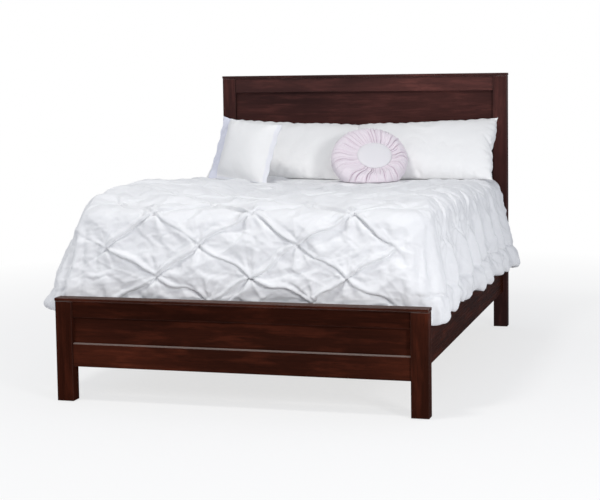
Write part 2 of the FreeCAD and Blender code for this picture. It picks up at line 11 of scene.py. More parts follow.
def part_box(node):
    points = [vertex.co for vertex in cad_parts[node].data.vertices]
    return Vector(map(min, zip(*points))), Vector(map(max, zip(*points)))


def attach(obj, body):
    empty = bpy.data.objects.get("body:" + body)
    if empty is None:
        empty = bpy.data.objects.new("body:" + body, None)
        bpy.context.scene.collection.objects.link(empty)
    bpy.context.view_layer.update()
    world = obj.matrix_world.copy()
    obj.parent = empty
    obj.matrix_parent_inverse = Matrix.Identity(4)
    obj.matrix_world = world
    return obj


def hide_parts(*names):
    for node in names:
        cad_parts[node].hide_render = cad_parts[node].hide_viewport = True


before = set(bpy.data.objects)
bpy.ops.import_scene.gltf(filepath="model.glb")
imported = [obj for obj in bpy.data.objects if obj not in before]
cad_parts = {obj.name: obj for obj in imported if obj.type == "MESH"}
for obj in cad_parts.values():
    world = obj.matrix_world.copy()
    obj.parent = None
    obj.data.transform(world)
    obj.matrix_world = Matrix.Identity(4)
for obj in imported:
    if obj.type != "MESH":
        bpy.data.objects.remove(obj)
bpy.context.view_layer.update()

bl_info = {
    "name": "Panel Bed Dresser",
    "version": (1, 0, 0),
    "blender": (4, 5, 0),
    "location": "View3D > Sidebar > Bed",
    "description": "Dresses a panel bed: stained wood, mattress, pinch pleated comforter and pillows",
    "category": "Add Mesh",
}

UP = Vector((0, 0, 1))
WHITE = (1.0, 1.0, 1.0)

# Nodes of the frame by the way their grain runs
FOOT_ALONG_X = ("foot_bottom_rail", "foot_panel")
SIDE_ALONG_Y = ("side_rail_left", "side_rail_right")
HEAD_ALONG_X = ("head_lower_rail", "head_middle_rail", "head_panel")
HEAD_ALONG_Z = ("head_post_left", "head_post_right")
SLATS = tuple(n for n in sorted(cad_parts) if n.startswith("slat_"))
PINE_ALONG_X = SLATS + ("foundation_slats",)
PINE_ALONG_Y = ("rail_cleat_left", "rail_cleat_right", "centre_beam", "foundation_frame")
PINE_ALONG_Z = ("centre_leg_1", "centre_leg_2")
STEEL = ("rail_hook_plates", "hook_pins", "beam_bracket_foot", "beam_bracket_head",
         "levelling_foot_1", "levelling_foot_2", "leg_inserts")


# Sizes and colours that a user would change

def length(name, description, default):
    return FloatProperty(name=name, description=description, default=default, unit="LENGTH")


def colour(name, description, default):
    return FloatVectorProperty(name=name, description=description, default=default, size=3,
                               subtype="COLOR", min=0.0, max=1.0)


class BedWood(PropertyGroup):
    dark: colour("Dark stain", "Stain in the pores and the dark figure", (0.014, 0.0050, 0.0034))
    warm: colour("Warm stain", "Reddish stain between the pores", (0.092, 0.0215, 0.0110))
    # Head stains: the foot stains made paler and greyer to paint a sheen on the headboard
    head_dark_sheen: colour("Dark stain, head", "The same, paler as a painted sheen", (0.026, 0.0135, 0.013))
    head_warm_sheen: colour("Warm stain, head", "The same, paler as a painted sheen", (0.100, 0.036, 0.031))
    # Painted highlight: the paler colour laid on the arrises and ledges where light catches them
    arris: colour("Arrises", "Painted highlight along the edges", (0.50, 0.42, 0.38))
    pine: colour("Softwood", "Unfinished slats, cleats, beam and legs", (0.56, 0.38, 0.21))


class BedCloth(PropertyGroup):
    comforter: colour("Comforter", "White cotton of the comforter", (0.856, 0.858, 0.866))
    pillow: colour("Pillows", "White cotton of the pillows", (0.93, 0.927, 0.918))
    cushion: colour("Cushion", "Pale pink white satin of the round cushion", (0.84, 0.765, 0.815))
    # Painted shade: a deeper pink laid into the creases of the gathers
    gather: colour("Cushion, gathers", "Painted pink shade in the creases of the gathers", (0.50, 0.36, 0.45))
    disc: colour("Cushion disc", "White satin of the disc", (0.84, 0.82, 0.84))
    # Painted shade: lavender grey laid on the borders of the front pillow, which turn away from the light
    border: colour("Pillow border", "Painted lavender grey shade on the front pillow's border", (0.76, 0.77, 0.86))
    ticking: colour("Ticking", "Knitted cover of the mattress", (0.8, 0.79, 0.76))


class BedComforter(PropertyGroup):
    cell: length("Cell size", "Edge of one square of the cloth that is simulated", 0.0108)
    corner: length("Corner radius", "Radius of the top outline at the foot end", 0.1)
    roll: length("Edge roll", "Radius of the rounded edge between top and drop", 0.055)
    pinch_across: length("Pinches across", "Distance between the pinches of a row", 0.4375)
    pinch_along: length("Pinch rows", "Distance between the rows of pinches", 0.14)
    ridge: length("Ridge height", "Height of the tucks that join the pinches", 0.016)
    puff: length("Puff", "Height of the filling between the tucks", 0.005)
    shell: length("Thickness", "Thickness of the filled cloth", 0.022)
    growth: FloatProperty(name="Fullness", description="Share by which the cloth is longer than its bed",
                          default=0.055)


class BedPillow(PropertyGroup):
    cell: length("Cell size", "Edge of one square of the mesh", 0.011)
    flange: length("Border", "Width of the flat border of the front pillow at its right and below", 0.03)
    flange_left: length("Border, left", "Width of the flat border of the front pillow at its left", 0.062)


class BedCushion(PropertyGroup):
    radius: length("Radius", "Radius of the round cushion", 0.206)
    hub: length("Disc", "Radius of the disc on each face", 0.092)
    thickness: length("Thickness", "Thickness of the round cushion", 0.118)
    gathers: IntProperty(name="Gathers", description="Creases round each face", default=58)


class BedStage(PropertyGroup):
    lens: FloatProperty(name="Lens", description="Focal length", default=82.57, unit="CAMERA")
    paper: colour("Paper", "Floor of the studio", (0.9, 0.9, 0.905))


class BedSettings(PropertyGroup):
    wood: PointerProperty(type=BedWood)
    cloth: PointerProperty(type=BedCloth)
    comforter: PointerProperty(type=BedComforter)
    pillow: PointerProperty(type=BedPillow)
    cushion: PointerProperty(type=BedCushion)
    stage: PointerProperty(type=BedStage)


# Meshes

def make_piece(bm, name, material, smooth=True):
    """Turns a bmesh into a finished object at the origin."""
    mesh = bpy.data.meshes.new(name)
    bm.to_mesh(mesh)
    bm.free()
    for face in mesh.polygons:
        face.use_smooth = smooth
    piece = bpy.data.objects.new(name, mesh)
    bpy.context.scene.collection.objects.link(piece)
    piece.data.materials.append(material)
    return piece


def hand_over(piece, body, slot, *nodes, fill=None):
    """Rides the piece on its body and hides the nodes it stands for.
    The slot and fill are not used."""
    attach(piece, body)
    if nodes:
        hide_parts(*nodes)


def extrude_rim(bm, rim):
    """Adds a row of faces along an open rim. Returns its new points and the new rim."""
    made = bmesh.ops.extrude_edge_only(bm, edges=rim)["geom"]
    new = {g for g in made if isinstance(g, bmesh.types.BMVert)}
    return new, [g for g in made if isinstance(g, bmesh.types.BMEdge) and set(g.verts) <= new]


def round_corner(p, q, radius):
    """Moves a place in a square corner, given as shares of the radius, into the round corner."""
    reach = max(p, q)
    angle = math.pi / 4 * q / p if p >= q else math.pi / 2 - math.pi / 4 * p / q
    return radius * reach * math.cos(angle), radius * reach * math.sin(angle)


def smooth_step(low, high, value):
    t = min(max((value - low) / (high - low), 0.0), 1.0)
    return t * t * (3 - 2 * t)


def mix(a, b, t):
    return a + (b - a) * t


def bell(offset, width):
    return math.exp(-(offset / width) ** 2)


def noise_xyz(x, y, z):
    return noise.noise(Vector((x, y, z)))


# Node helpers

def link(tree, source, target):
    tree.links.new(source, target)


def feed(tree, value, socket):
    """Links an output to the socket, or gives it a number, a vector or a colour."""
    if isinstance(value, bpy.types.NodeSocket):
        link(tree, value, socket)
    elif socket.type == "RGBA":
        socket.default_value = (*value[:3], 1.0)
    else:
        socket.default_value = value


def add(tree, kind, **values):
    """Adds a node and sets its sockets, or its settings where no socket has the name."""
    made = tree.nodes.new(kind)
    for name, value in values.items():
        socket = made.inputs.get(name.replace("_", " "))
        if socket is None:
            setattr(made, name, value)
        else:
            feed(tree, value, socket)
    return made


def maths(tree, operation, *values):
    made = add(tree, "ShaderNodeMath", operation=operation)
    for value, socket in zip(values, made.inputs):
        feed(tree, value, socket)
    return made.outputs[0]


def times(tree, a, b):
    return maths(tree, "MULTIPLY", a, b)


def plus(tree, a, b):
    return maths(tree, "ADD", a, b)


def mix_colours(tree, factor, a, b):
    made = add(tree, "ShaderNodeMix", data_type="RGBA")
    for value, number in ((factor, 0), (a, 6), (b, 7)):
        feed(tree, value, made.inputs[number])
    return made.outputs[2]


def noise_at(tree, vector, scale, detail=3.0, roughness=0.5):
    return add(tree, "ShaderNodeTexNoise", Vector=vector, Scale=scale, Detail=detail,
               Roughness=roughness).outputs["Fac"]


def stretch(tree, vector, scale):
    return add(tree, "ShaderNodeMapping", Vector=vector, Scale=scale).outputs["Vector"]


def ramp(tree, factor, low, high):
    return add(tree, "ShaderNodeMapRange", interpolation_type="SMOOTHSTEP", Value=factor, From_Min=low,
               From_Max=high).outputs["Result"]


def upward(tree, vector):
    return add(tree, "ShaderNodeSeparateXYZ", Vector=vector).outputs["Z"]


def start_group(name, inputs, outputs):
    tree = bpy.data.node_groups.new(name, "ShaderNodeTree")
    for socket, kind in inputs:
        tree.interface.new_socket(name=socket, in_out="INPUT", socket_type=kind)
    for socket, kind in outputs:
        tree.interface.new_socket(name=socket, in_out="OUTPUT", socket_type=kind)
    return tree, tree.nodes.new("NodeGroupInput"), tree.nodes.new("NodeGroupOutput")


def grain_group():
    """Straight grained wood whose fibres run along Z of the vector."""
    made = bpy.data.node_groups.get("Wood grain")
    if made:
        return made
    tree, given, out = start_group(
        "Wood grain",
        (("Vector", "NodeSocketVector"), ("Dark", "NodeSocketColor"), ("Warm", "NodeSocketColor")),
        (("Color", "NodeSocketColor"), ("Gloss", "NodeSocketFloat"), ("Height", "NodeSocketFloat")))
    vector = given.outputs["Vector"]
    bend = noise_at(tree, stretch(tree, vector, (3.0, 3.0, 0.8)), 1.0, 2.0)
    figure = noise_at(tree, stretch(tree, vector, (26.0, 26.0, 1.5)), 1.0, 4.0, 0.6)
    fibre = noise_at(tree, stretch(tree, vector, (240.0, 240.0, 5.0)), 1.0, 3.0, 0.6)
    pore = noise_at(tree, stretch(tree, vector, (620.0, 620.0, 22.0)), 1.0, 1.0)
    blotch = noise_at(tree, stretch(tree, vector, (30.0, 30.0, 5.0)), 1.0, 3.0, 0.55)
    patch = times(tree, ramp(tree, bend, 0.36, 0.66), 0.34)
    cloud = times(tree, ramp(tree, blotch, 0.44, 0.72), 0.46)
    line = plus(tree, times(tree, ramp(tree, figure, 0.3, 0.72), 0.5),
                times(tree, ramp(tree, fibre, 0.25, 0.75), 0.3))
    warm = times(tree, plus(tree, plus(tree, patch, cloud), 0.2), plus(tree, line, 0.45))
    stained = mix_colours(tree, warm, given.outputs["Dark"], given.outputs["Warm"])
    open_pore = ramp(tree, pore, 0.6, 0.72)
    shaded = mix_colours(tree, times(tree, open_pore, 0.55), stained, given.outputs["Dark"])
    link(tree, shaded, out.inputs["Color"])
    link(tree, plus(tree, times(tree, fibre, 0.14), 0.2), out.inputs["Gloss"])
    link(tree, maths(tree, "SUBTRACT", times(tree, fibre, 0.4), open_pore), out.inputs["Height"])
    return tree


def cloth_group():
    """Plain weave and the small soft creases of washed cotton."""
    made = bpy.data.node_groups.get("Cotton cloth")
    if made:
        return made
    tree, given, out = start_group(
        "Cotton cloth",
        (("Vector", "NodeSocketVector"), ("Color", "NodeSocketColor"), ("Creases", "NodeSocketFloat")),
        (("Color", "NodeSocketColor"), ("Height", "NodeSocketFloat")))
    vector = given.outputs["Vector"]
    slub = noise_at(tree, vector, 900.0, 2.0)
    soft = noise_at(tree, vector, 16.0, 4.0, 0.55)
    crease = maths(tree, "ABSOLUTE", maths(tree, "SUBTRACT", noise_at(tree, vector, 9.0, 3.0, 0.55), 0.5))
    fold = maths(tree, "SUBTRACT", 1.0, ramp(tree, crease, 0.0, 0.05))
    crumple = plus(tree, soft, times(tree, fold, 0.35))
    height = plus(tree, times(tree, slub, 0.03), times(tree, given.outputs["Creases"], crumple))
    link(tree, height, out.inputs["Height"])
    dim = add(tree, "ShaderNodeHueSaturation", Saturation=1.0, Color=given.outputs["Color"],
              Value=plus(tree, times(tree, slub, 0.05), 0.965))
    link(tree, dim.outputs["Color"], out.inputs["Color"])
    return tree


def arris_highlight_group():
    """Mask of a painted highlight on the arrises, strongest on those that face up, and on ledges, and a
    normal rounded over the arrises.
    """
    made = bpy.data.node_groups.get("Painted arris highlight")
    if made:
        return made
    tree, given, out = start_group(
        "Painted arris highlight", (("Vector", "NodeSocketVector"), ("Radius", "NodeSocketFloat"),
                       ("Under", "NodeSocketFloat"), ("Ledge", "NodeSocketFloat")),
        (("Mask", "NodeSocketFloat"), ("Normal", "NodeSocketVector")))
    flat = tree.nodes.new("ShaderNodeNewGeometry").outputs["Normal"]
    rounded = add(tree, "ShaderNodeBevel", samples=6, Radius=given.outputs["Radius"]).outputs["Normal"]
    turn = add(tree, "ShaderNodeVectorMath", operation="DOT_PRODUCT")
    link(tree, rounded, turn.inputs[0])
    link(tree, flat, turn.inputs[1])
    edge = maths(tree, "SUBTRACT", 1.0, ramp(tree, turn.outputs["Value"], 0.78, 0.99))
    uneven = ramp(tree, noise_at(tree, given.outputs["Vector"], 14.0, 4.0, 0.6), 0.15, 0.5)
    lit = maths(tree, "MAXIMUM", ramp(tree, upward(tree, rounded), 0.1, 0.5), given.outputs["Under"])
    # Painted highlight on faces that look up, as far as Ledge says
    ledge = times(tree, ramp(tree, upward(tree, flat), 0.5, 0.9), given.outputs["Ledge"])
    # Painted highlight along the arrises, uneven along them, on those that face up or as far as Under says
    painted_highlight = times(tree, times(tree, edge, uneven), lit)
    link(tree, maths(tree, "MAXIMUM", painted_highlight, ledge), out.inputs["Mask"])
    link(tree, rounded, out.inputs["Normal"])
    return tree


def placed_group(tree, group, **values):
    made = add(tree, "ShaderNodeGroup", node_tree=group)
    for name, value in values.items():
        feed(tree, value, made.inputs[name])
    return made


def start_material(name, **values):
    """A material with these values on its shader, and the object's own coordinates."""
    material = bpy.data.materials.new(name)
    material.use_nodes = True
    tree = material.node_tree
    shader = tree.nodes["Principled BSDF"]
    for socket, value in values.items():
        feed(tree, value, shader.inputs[socket.replace("_", " ")])
    where = tree.nodes.new("ShaderNodeTexCoord").outputs["Object"]
    return material, tree, shader, where


def bump(tree, height, shader, strength, distance, **values):
    made = add(tree, "ShaderNodeBump", Height=height, Strength=strength, Distance=distance, **values)
    link(tree, made.outputs["Normal"], shader.inputs["Normal"])


GRAIN_TURN = {"X": (0, math.pi / 2, 0), "Y": (math.pi / 2, 0, 0), "Z": (0, 0, 0)}


def turned_grain(tree, where, axis, dark, warm):
    turned = add(tree, "ShaderNodeMapping", Vector=where, Rotation=GRAIN_TURN[axis])
    return placed_group(tree, grain_group(), Vector=turned.outputs["Vector"], Dark=dark, Warm=warm)


def softwood(axis):
    looks = bpy.context.scene.bed.wood
    material, tree, shader, where = start_material("Softwood along " + axis, Roughness=0.6,
                                                   Specular_IOR_Level=0.2)
    grain = turned_grain(tree, where, axis, [c * 0.72 for c in looks.pine], looks.pine)
    link(tree, grain.outputs["Color"], shader.inputs["Base Color"])
    bump(tree, grain.outputs["Height"], shader, 0.5, 0.0004)
    return material


def stained_wood(name, axis, stain, under, ledge):
    """Stain is a dark and a warm colour. Under says how much painted highlight shows on the arrises that
    face down, and ledge how much painted highlight pales the faces that look up."""
    looks = bpy.context.scene.bed.wood
    material, tree, shader, where = start_material(f"{name} along {axis}", Specular_IOR_Level=0.0012)
    grain = turned_grain(tree, where, axis, *stain)
    arris = placed_group(tree, arris_highlight_group(), Vector=where, Radius=0.003, Under=under, Ledge=ledge)
    # The arris colour is mixed in as a painted highlight
    painted_highlight = times(tree, arris.outputs["Mask"], 0.9)
    link(tree, mix_colours(tree, painted_highlight, grain.outputs["Color"], looks.arris), shader.inputs["Base Color"])
    link(tree, grain.outputs["Gloss"], shader.inputs["Roughness"])
    bump(tree, grain.outputs["Height"], shader, 0.25, 0.0004, Normal=arris.outputs["Normal"])
    return material


def cloth_material(name, tint, creases=0.5, sheen=0.25, roughness=0.85):
    material, tree, shader, where = start_material(
        name, Roughness=roughness, Sheen_Weight=sheen, Sheen_Roughness=0.5, Specular_IOR_Level=0.2)
    cloth = placed_group(tree, cloth_group(), Vector=where, Color=tint, Creases=creases)
    link(tree, cloth.outputs["Color"], shader.inputs["Base Color"])
    bump(tree, cloth.outputs["Height"], shader, 0.5, 0.003)
    return material


def satin(name, tint):
    return cloth_material(name, tint, creases=0.3, sheen=0.4, roughness=0.6)


def steel_material():
    made = bpy.data.materials.get("Zinc plate")
    if made:
        return made
    material, tree, shader, where = start_material("Zinc plate", Metallic=1.0)
    cloud = noise_at(tree, where, 60.0, 4.0)
    tint = mix_colours(tree, cloud, (0.42, 0.42, 0.43), (0.66, 0.65, 0.62))
    link(tree, tint, shader.inputs["Base Color"])
    link(tree, plus(tree, times(tree, cloud, 0.25), 0.25), shader.inputs["Roughness"])
    bump(tree, noise_at(tree, where, 700.0, 2.0), shader, 0.15, 0.0003)
    return material


def speckled(name, roughness, scale, detail, dark, pale, strength, distance):
    """Plain stuff whose colour and surface follow one fine noise."""
    material, tree, shader, where = start_material(name, Roughness=roughness)
    speck = noise_at(tree, where, scale, detail)
    link(tree, mix_colours(tree, speck, dark, pale), shader.inputs["Base Color"])
    bump(tree, speck, shader, strength, distance)
    return material


def nylon_material():
    return speckled("Black nylon", 0.5, scale=300.0, detail=3.0, dark=(0.015, 0.015, 0.016),
                    pale=(0.035, 0.035, 0.036), strength=0.2, distance=0.0003)


def foam_material():
    return speckled("Open foam", 0.95, scale=500.0, detail=2.0, dark=(0.72, 0.64, 0.44),
                    pale=(0.86, 0.8, 0.62), strength=0.6, distance=0.001)


def finish_nodes(nodes, material):
    for name in nodes:
        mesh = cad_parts[name].data
        mesh.materials.clear()
        mesh.materials.append(material)


# Settled cloth

def hold(piece, name, points):
    group = piece.vertex_groups.new(name=name)
    group.add(points, 1.0, "REPLACE")


def apply_modifiers(piece):
    graph = bpy.context.evaluated_depsgraph_get()
    made = bpy.data.meshes.new_from_object(piece.evaluated_get(graph))
    piece.modifiers.clear()
    piece.data = made


def settle(piece, pressure, frames, **cloth):
    """Blows a cloth up and keeps the result as the piece's own mesh."""
    modifier = piece.modifiers.new("Cloth", "CLOTH")
    modifier.settings.use_pressure = True
    modifier.settings.uniform_pressure_force = pressure
    modifier.settings.effector_weights.gravity = 0
    for name, value in cloth.items():
        setattr(modifier.settings, name, value)
    modifier.point_cache.frame_start, modifier.point_cache.frame_end = 1, frames
    for number in range(1, frames + 1):
        bpy.context.scene.frame_set(number)
    apply_modifiers(piece)
    bpy.context.scene.frame_set(1)


def relax(mesh, passes):
    """Evens out the small buckles of a settled cloth."""
    bm = bmesh.new()
    bm.from_mesh(mesh)
    for _ in range(passes):
        bmesh.ops.smooth_vert(bm, verts=bm.verts, factor=0.5, use_axis_x=True, use_axis_y=True,
                              use_axis_z=True)
    bm.to_mesh(mesh)
    bm.free()


# Comforter

def along_table(table, value):
    """Reads a table of (place, value) pairs, smoothly between its entries."""
    for (x0, y0), (x1, y1) in zip(table, table[1:]):
        if value <= x1:
            return mix(y0, y1, smooth_step(x0, x1, value))
    return table[-1][1]


class Drape:
    """Where a point of the comforter lies before its tucks: up on the bed or down a side."""

    # Heights of the hem above the floor from foot to head, and the loft of the top's left edge
    HEM_RIGHT = ((-1.05, 0.350), (-0.80, 0.383), (-0.40, 0.390), (0.30, 0.398), (0.70, 0.385),
                 (1.0, 0.348))
    HEM_LEFT = ((-1.05, 0.378), (-0.80, 0.388), (0.30, 0.392), (0.70, 0.375), (1.0, 0.350))
    HEM_FRONT = 0.388
    LOFT = ((-0.90, 0.0), (-0.80, 0.036), (-0.60, 0.056), (-0.35, 0.062), (0.0, 0.042), (0.30, 0.026),
            (0.62, 0.024), (0.75, 0.0))
    # Side folds: distance between crests, and depth above the hem band and at the hem
    FOLD_LENGTH = 0.25
    FOLD_DEPTH = 0.044
    FOLD_DEPTH_LOW = 0.026
    # Hem band: height, how far it puffs out, and depth of the groove above it
    HEM_BAND = 0.115
    BAND_PUFF = 0.013
    BAND_GROOVE = 0.009
    # Foot corners: depth of the pleats, and how far the hem swings out
    PLEAT_DEPTH = 0.032
    SWING_LEFT = 0.052
    SWING_RIGHT = 0.02
    # Top of the cloth below the solid's top, and room left round the mattress at its sides and foot
    SUNK = 0.008
    BESIDE = 0.03
    BEFORE = 0.026
    LEAST_FLARE = 0.056

    def __init__(self, looks):
        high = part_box("comforter")[1]
        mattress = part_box("mattress_cover")
        self.top = high.z - self.SUNK
        self.roll = looks.roll
        self.corner = looks.corner
        self.half = mattress[1].x + self.BESIDE - self.roll
        self.foot = mattress[0].y - self.BEFORE + self.roll
        self.head = high.y
        self.reach = high.x

    def loft(self, x, y):
        side = smooth_step(0.05, 0.55, abs(x))
        share = 1.0 if x < 0 else 0.45
        middle = mix(0.3, 0.0, smooth_step(-0.3, 0.2, y))
        return along_table(self.LOFT, y) * mix(middle, share, side)

    def top_point(self, x, y):
        """The outline is square at the head end and rounded at the foot end."""
        inner_x, inner_y = self.half - self.corner, self.foot + self.corner
        p, q = (abs(x) - inner_x) / self.corner, (inner_y - y) / self.corner
        if p > 0 and q > 0:
            out_x, out_y = round_corner(p, q, self.corner)
            x, y = math.copysign(inner_x + out_x, x), inner_y - out_y
        return Vector((x, y, self.top + self.loft(x, y)))

    def outward(self, point):
        """Level direction in which the drop leaves the top at this point of its outline."""
        inner_x, inner_y = self.half - self.corner, self.foot + self.corner
        if point.y > inner_y - 1e-6:
            return Vector((math.copysign(1, point.x), 0, 0))
        if abs(point.x) < inner_x + 1e-6:
            return Vector((0, -1, 0))
        away = Vector((abs(point.x) - inner_x, point.y - inner_y, 0)).normalized()
        return Vector((math.copysign(away.x, point.x), away.y, 0))

    def flare(self, point):
        """How far the hem stands out sideways from the top's edge."""
        along = min(max((point.y - self.foot) / (self.head - self.foot), 0.0), 1.0)
        most = self.reach - self.half - self.roll
        ends = (self.LEAST_FLARE, most) if point.x > 0 else (most, self.LEAST_FLARE)
        side = mix(*ends, along)
        inner = self.half - self.corner
        return side * smooth_step(inner - 0.30, inner + self.corner * 0.6, abs(point.x))

    def hem(self, point, way):
        table = self.HEM_RIGHT if point.x > 0 else self.HEM_LEFT
        height = mix(self.HEM_FRONT, along_table(table, point.y), smooth_step(0.1, 0.8, abs(way.x)))
        crest = self.fold(point)
        return height - (0.008 * crest - 0.004) * smooth_step(0.6, 1.0, abs(way.x))

    def fold(self, point):
        """Crests of the long folds down a side: 1 on a narrow crest, 0 in the wide hollows."""
        wander = noise_xyz(point.y * 2.3, point.x, 3.1) * 0.5
        phase = (point.y / self.FOLD_LENGTH + wander + 0.2) % 1.0 - 0.5
        narrow = bell(phase, 0.105)
        second = 0.4 * bell(phase - 0.31, 0.06)
        return narrow + second

    def side_wave(self, point, way, down, drop):
        """The long folds of the drop, deeper towards the hem, and the puffed band above the hem."""
        sideways = smooth_step(0.3, 0.9, abs(way.x))
        deep = smooth_step(0.03, 0.30, down)
        above_hem = (drop - down) / self.HEM_BAND
        band = math.sin(math.pi * min(max(above_hem, 0.0), 1.0)) ** 0.6 if above_hem < 1 else 0.0
        lobes = abs(math.sin(math.pi * point.y / self.FOLD_LENGTH * 2.6 + 0.7)) ** 0.7
        calm = 1.0 if point.x > 0 else smooth_step(-0.9, -0.5, point.y)
        at_head = 1 - 0.7 * smooth_step(0.6, 0.95, point.y)
        fold_depth = mix(self.FOLD_DEPTH_LOW, self.FOLD_DEPTH, smooth_step(0.2, 1.6, above_hem))
        wave = deep * at_head * mix(0.3, 1.0, calm) * (fold_depth * self.fold(point) - 0.012)
        groove = bell(above_hem - 1.0, 0.08)
        wave += calm * (self.BAND_PUFF * band * (0.5 + 0.5 * lobes) - self.BAND_GROOVE * groove)
        front = 0.010 * deep * noise_xyz(point.x * 3.0, point.y, 7.7)
        return mix(front, wave, sideways) + self.corner_pleats(point, down)

    def corner_pleats(self, point, down):
        """Upright pleats that hang from the foot corners, with narrow crests."""
        along = abs(point.x) + point.y - self.foot
        near = smooth_step(0.58, 0.70, abs(point.x)) * smooth_step(0.03, 0.18, down) \
            * (1 - smooth_step(self.foot + self.corner, self.foot + 0.35, point.y))
        wander = 1.8 * noise_xyz(along * 5, 0, 5.0)
        pleat = abs(math.sin(along * 64 + down * 7 + wander)) ** 0.55
        return near * (self.PLEAT_DEPTH * pleat - 0.018) * (1.0 if point.x < 0 else 0.55)

    def drop_point(self, point, way, distance):
        """A point that lies this far down the drop from the top's outline, and its normal."""
        quarter = math.pi / 2 * self.roll
        angle = min(distance, quarter) / self.roll
        out = self.roll * math.sin(angle)
        down = self.roll * (1 - math.cos(angle)) + max(distance - quarter, 0.0)
        drop = point.z - self.hem(point, way)
        share = min(max((down - self.roll * 0.3) / (drop - self.roll * 0.3), 0.0), 1.05)
        spread = self.flare(point) * share ** 1.1
        swing = self.SWING_LEFT if point.x < 0 else self.SWING_RIGHT
        diagonal = 2 * abs(way.x * way.y) * swing * share ** 1.2
        slope = self.flare(point) * abs(way.x) / drop
        normal = (way * math.sin(angle) + UP * max(math.cos(angle), slope * math.sin(angle))).normalized()
        place = point + way * (out + diagonal + self.side_wave(point, way, down, drop)) - UP * down
        place.x += math.copysign(spread, point.x)
        return place, normal

    def tuck_share(self, u, v, fall):
        """How far this place is on the top, and the share of the tucks' height that is left there."""
        on_top = smooth_step(self.foot + 0.02, self.foot + 0.25, v) * (1 - smooth_step(0.0, 0.2, fall))
        on_side = smooth_step(0.0, 0.3, fall) * smooth_step(self.foot, self.foot + 0.15, v)
        at_corner = smooth_step(0.60, 0.69, abs(u)) \
            * (1 - smooth_step(self.foot + 0.05, self.foot + 0.30, v))
        return on_top, (1 - 0.62 * on_top - 0.65 * on_side) * (1 - 0.9 * at_corner)

    def drop_length(self, point, way):
        return point.z - self.hem(point, way) + self.roll * (math.pi / 2 - 1)


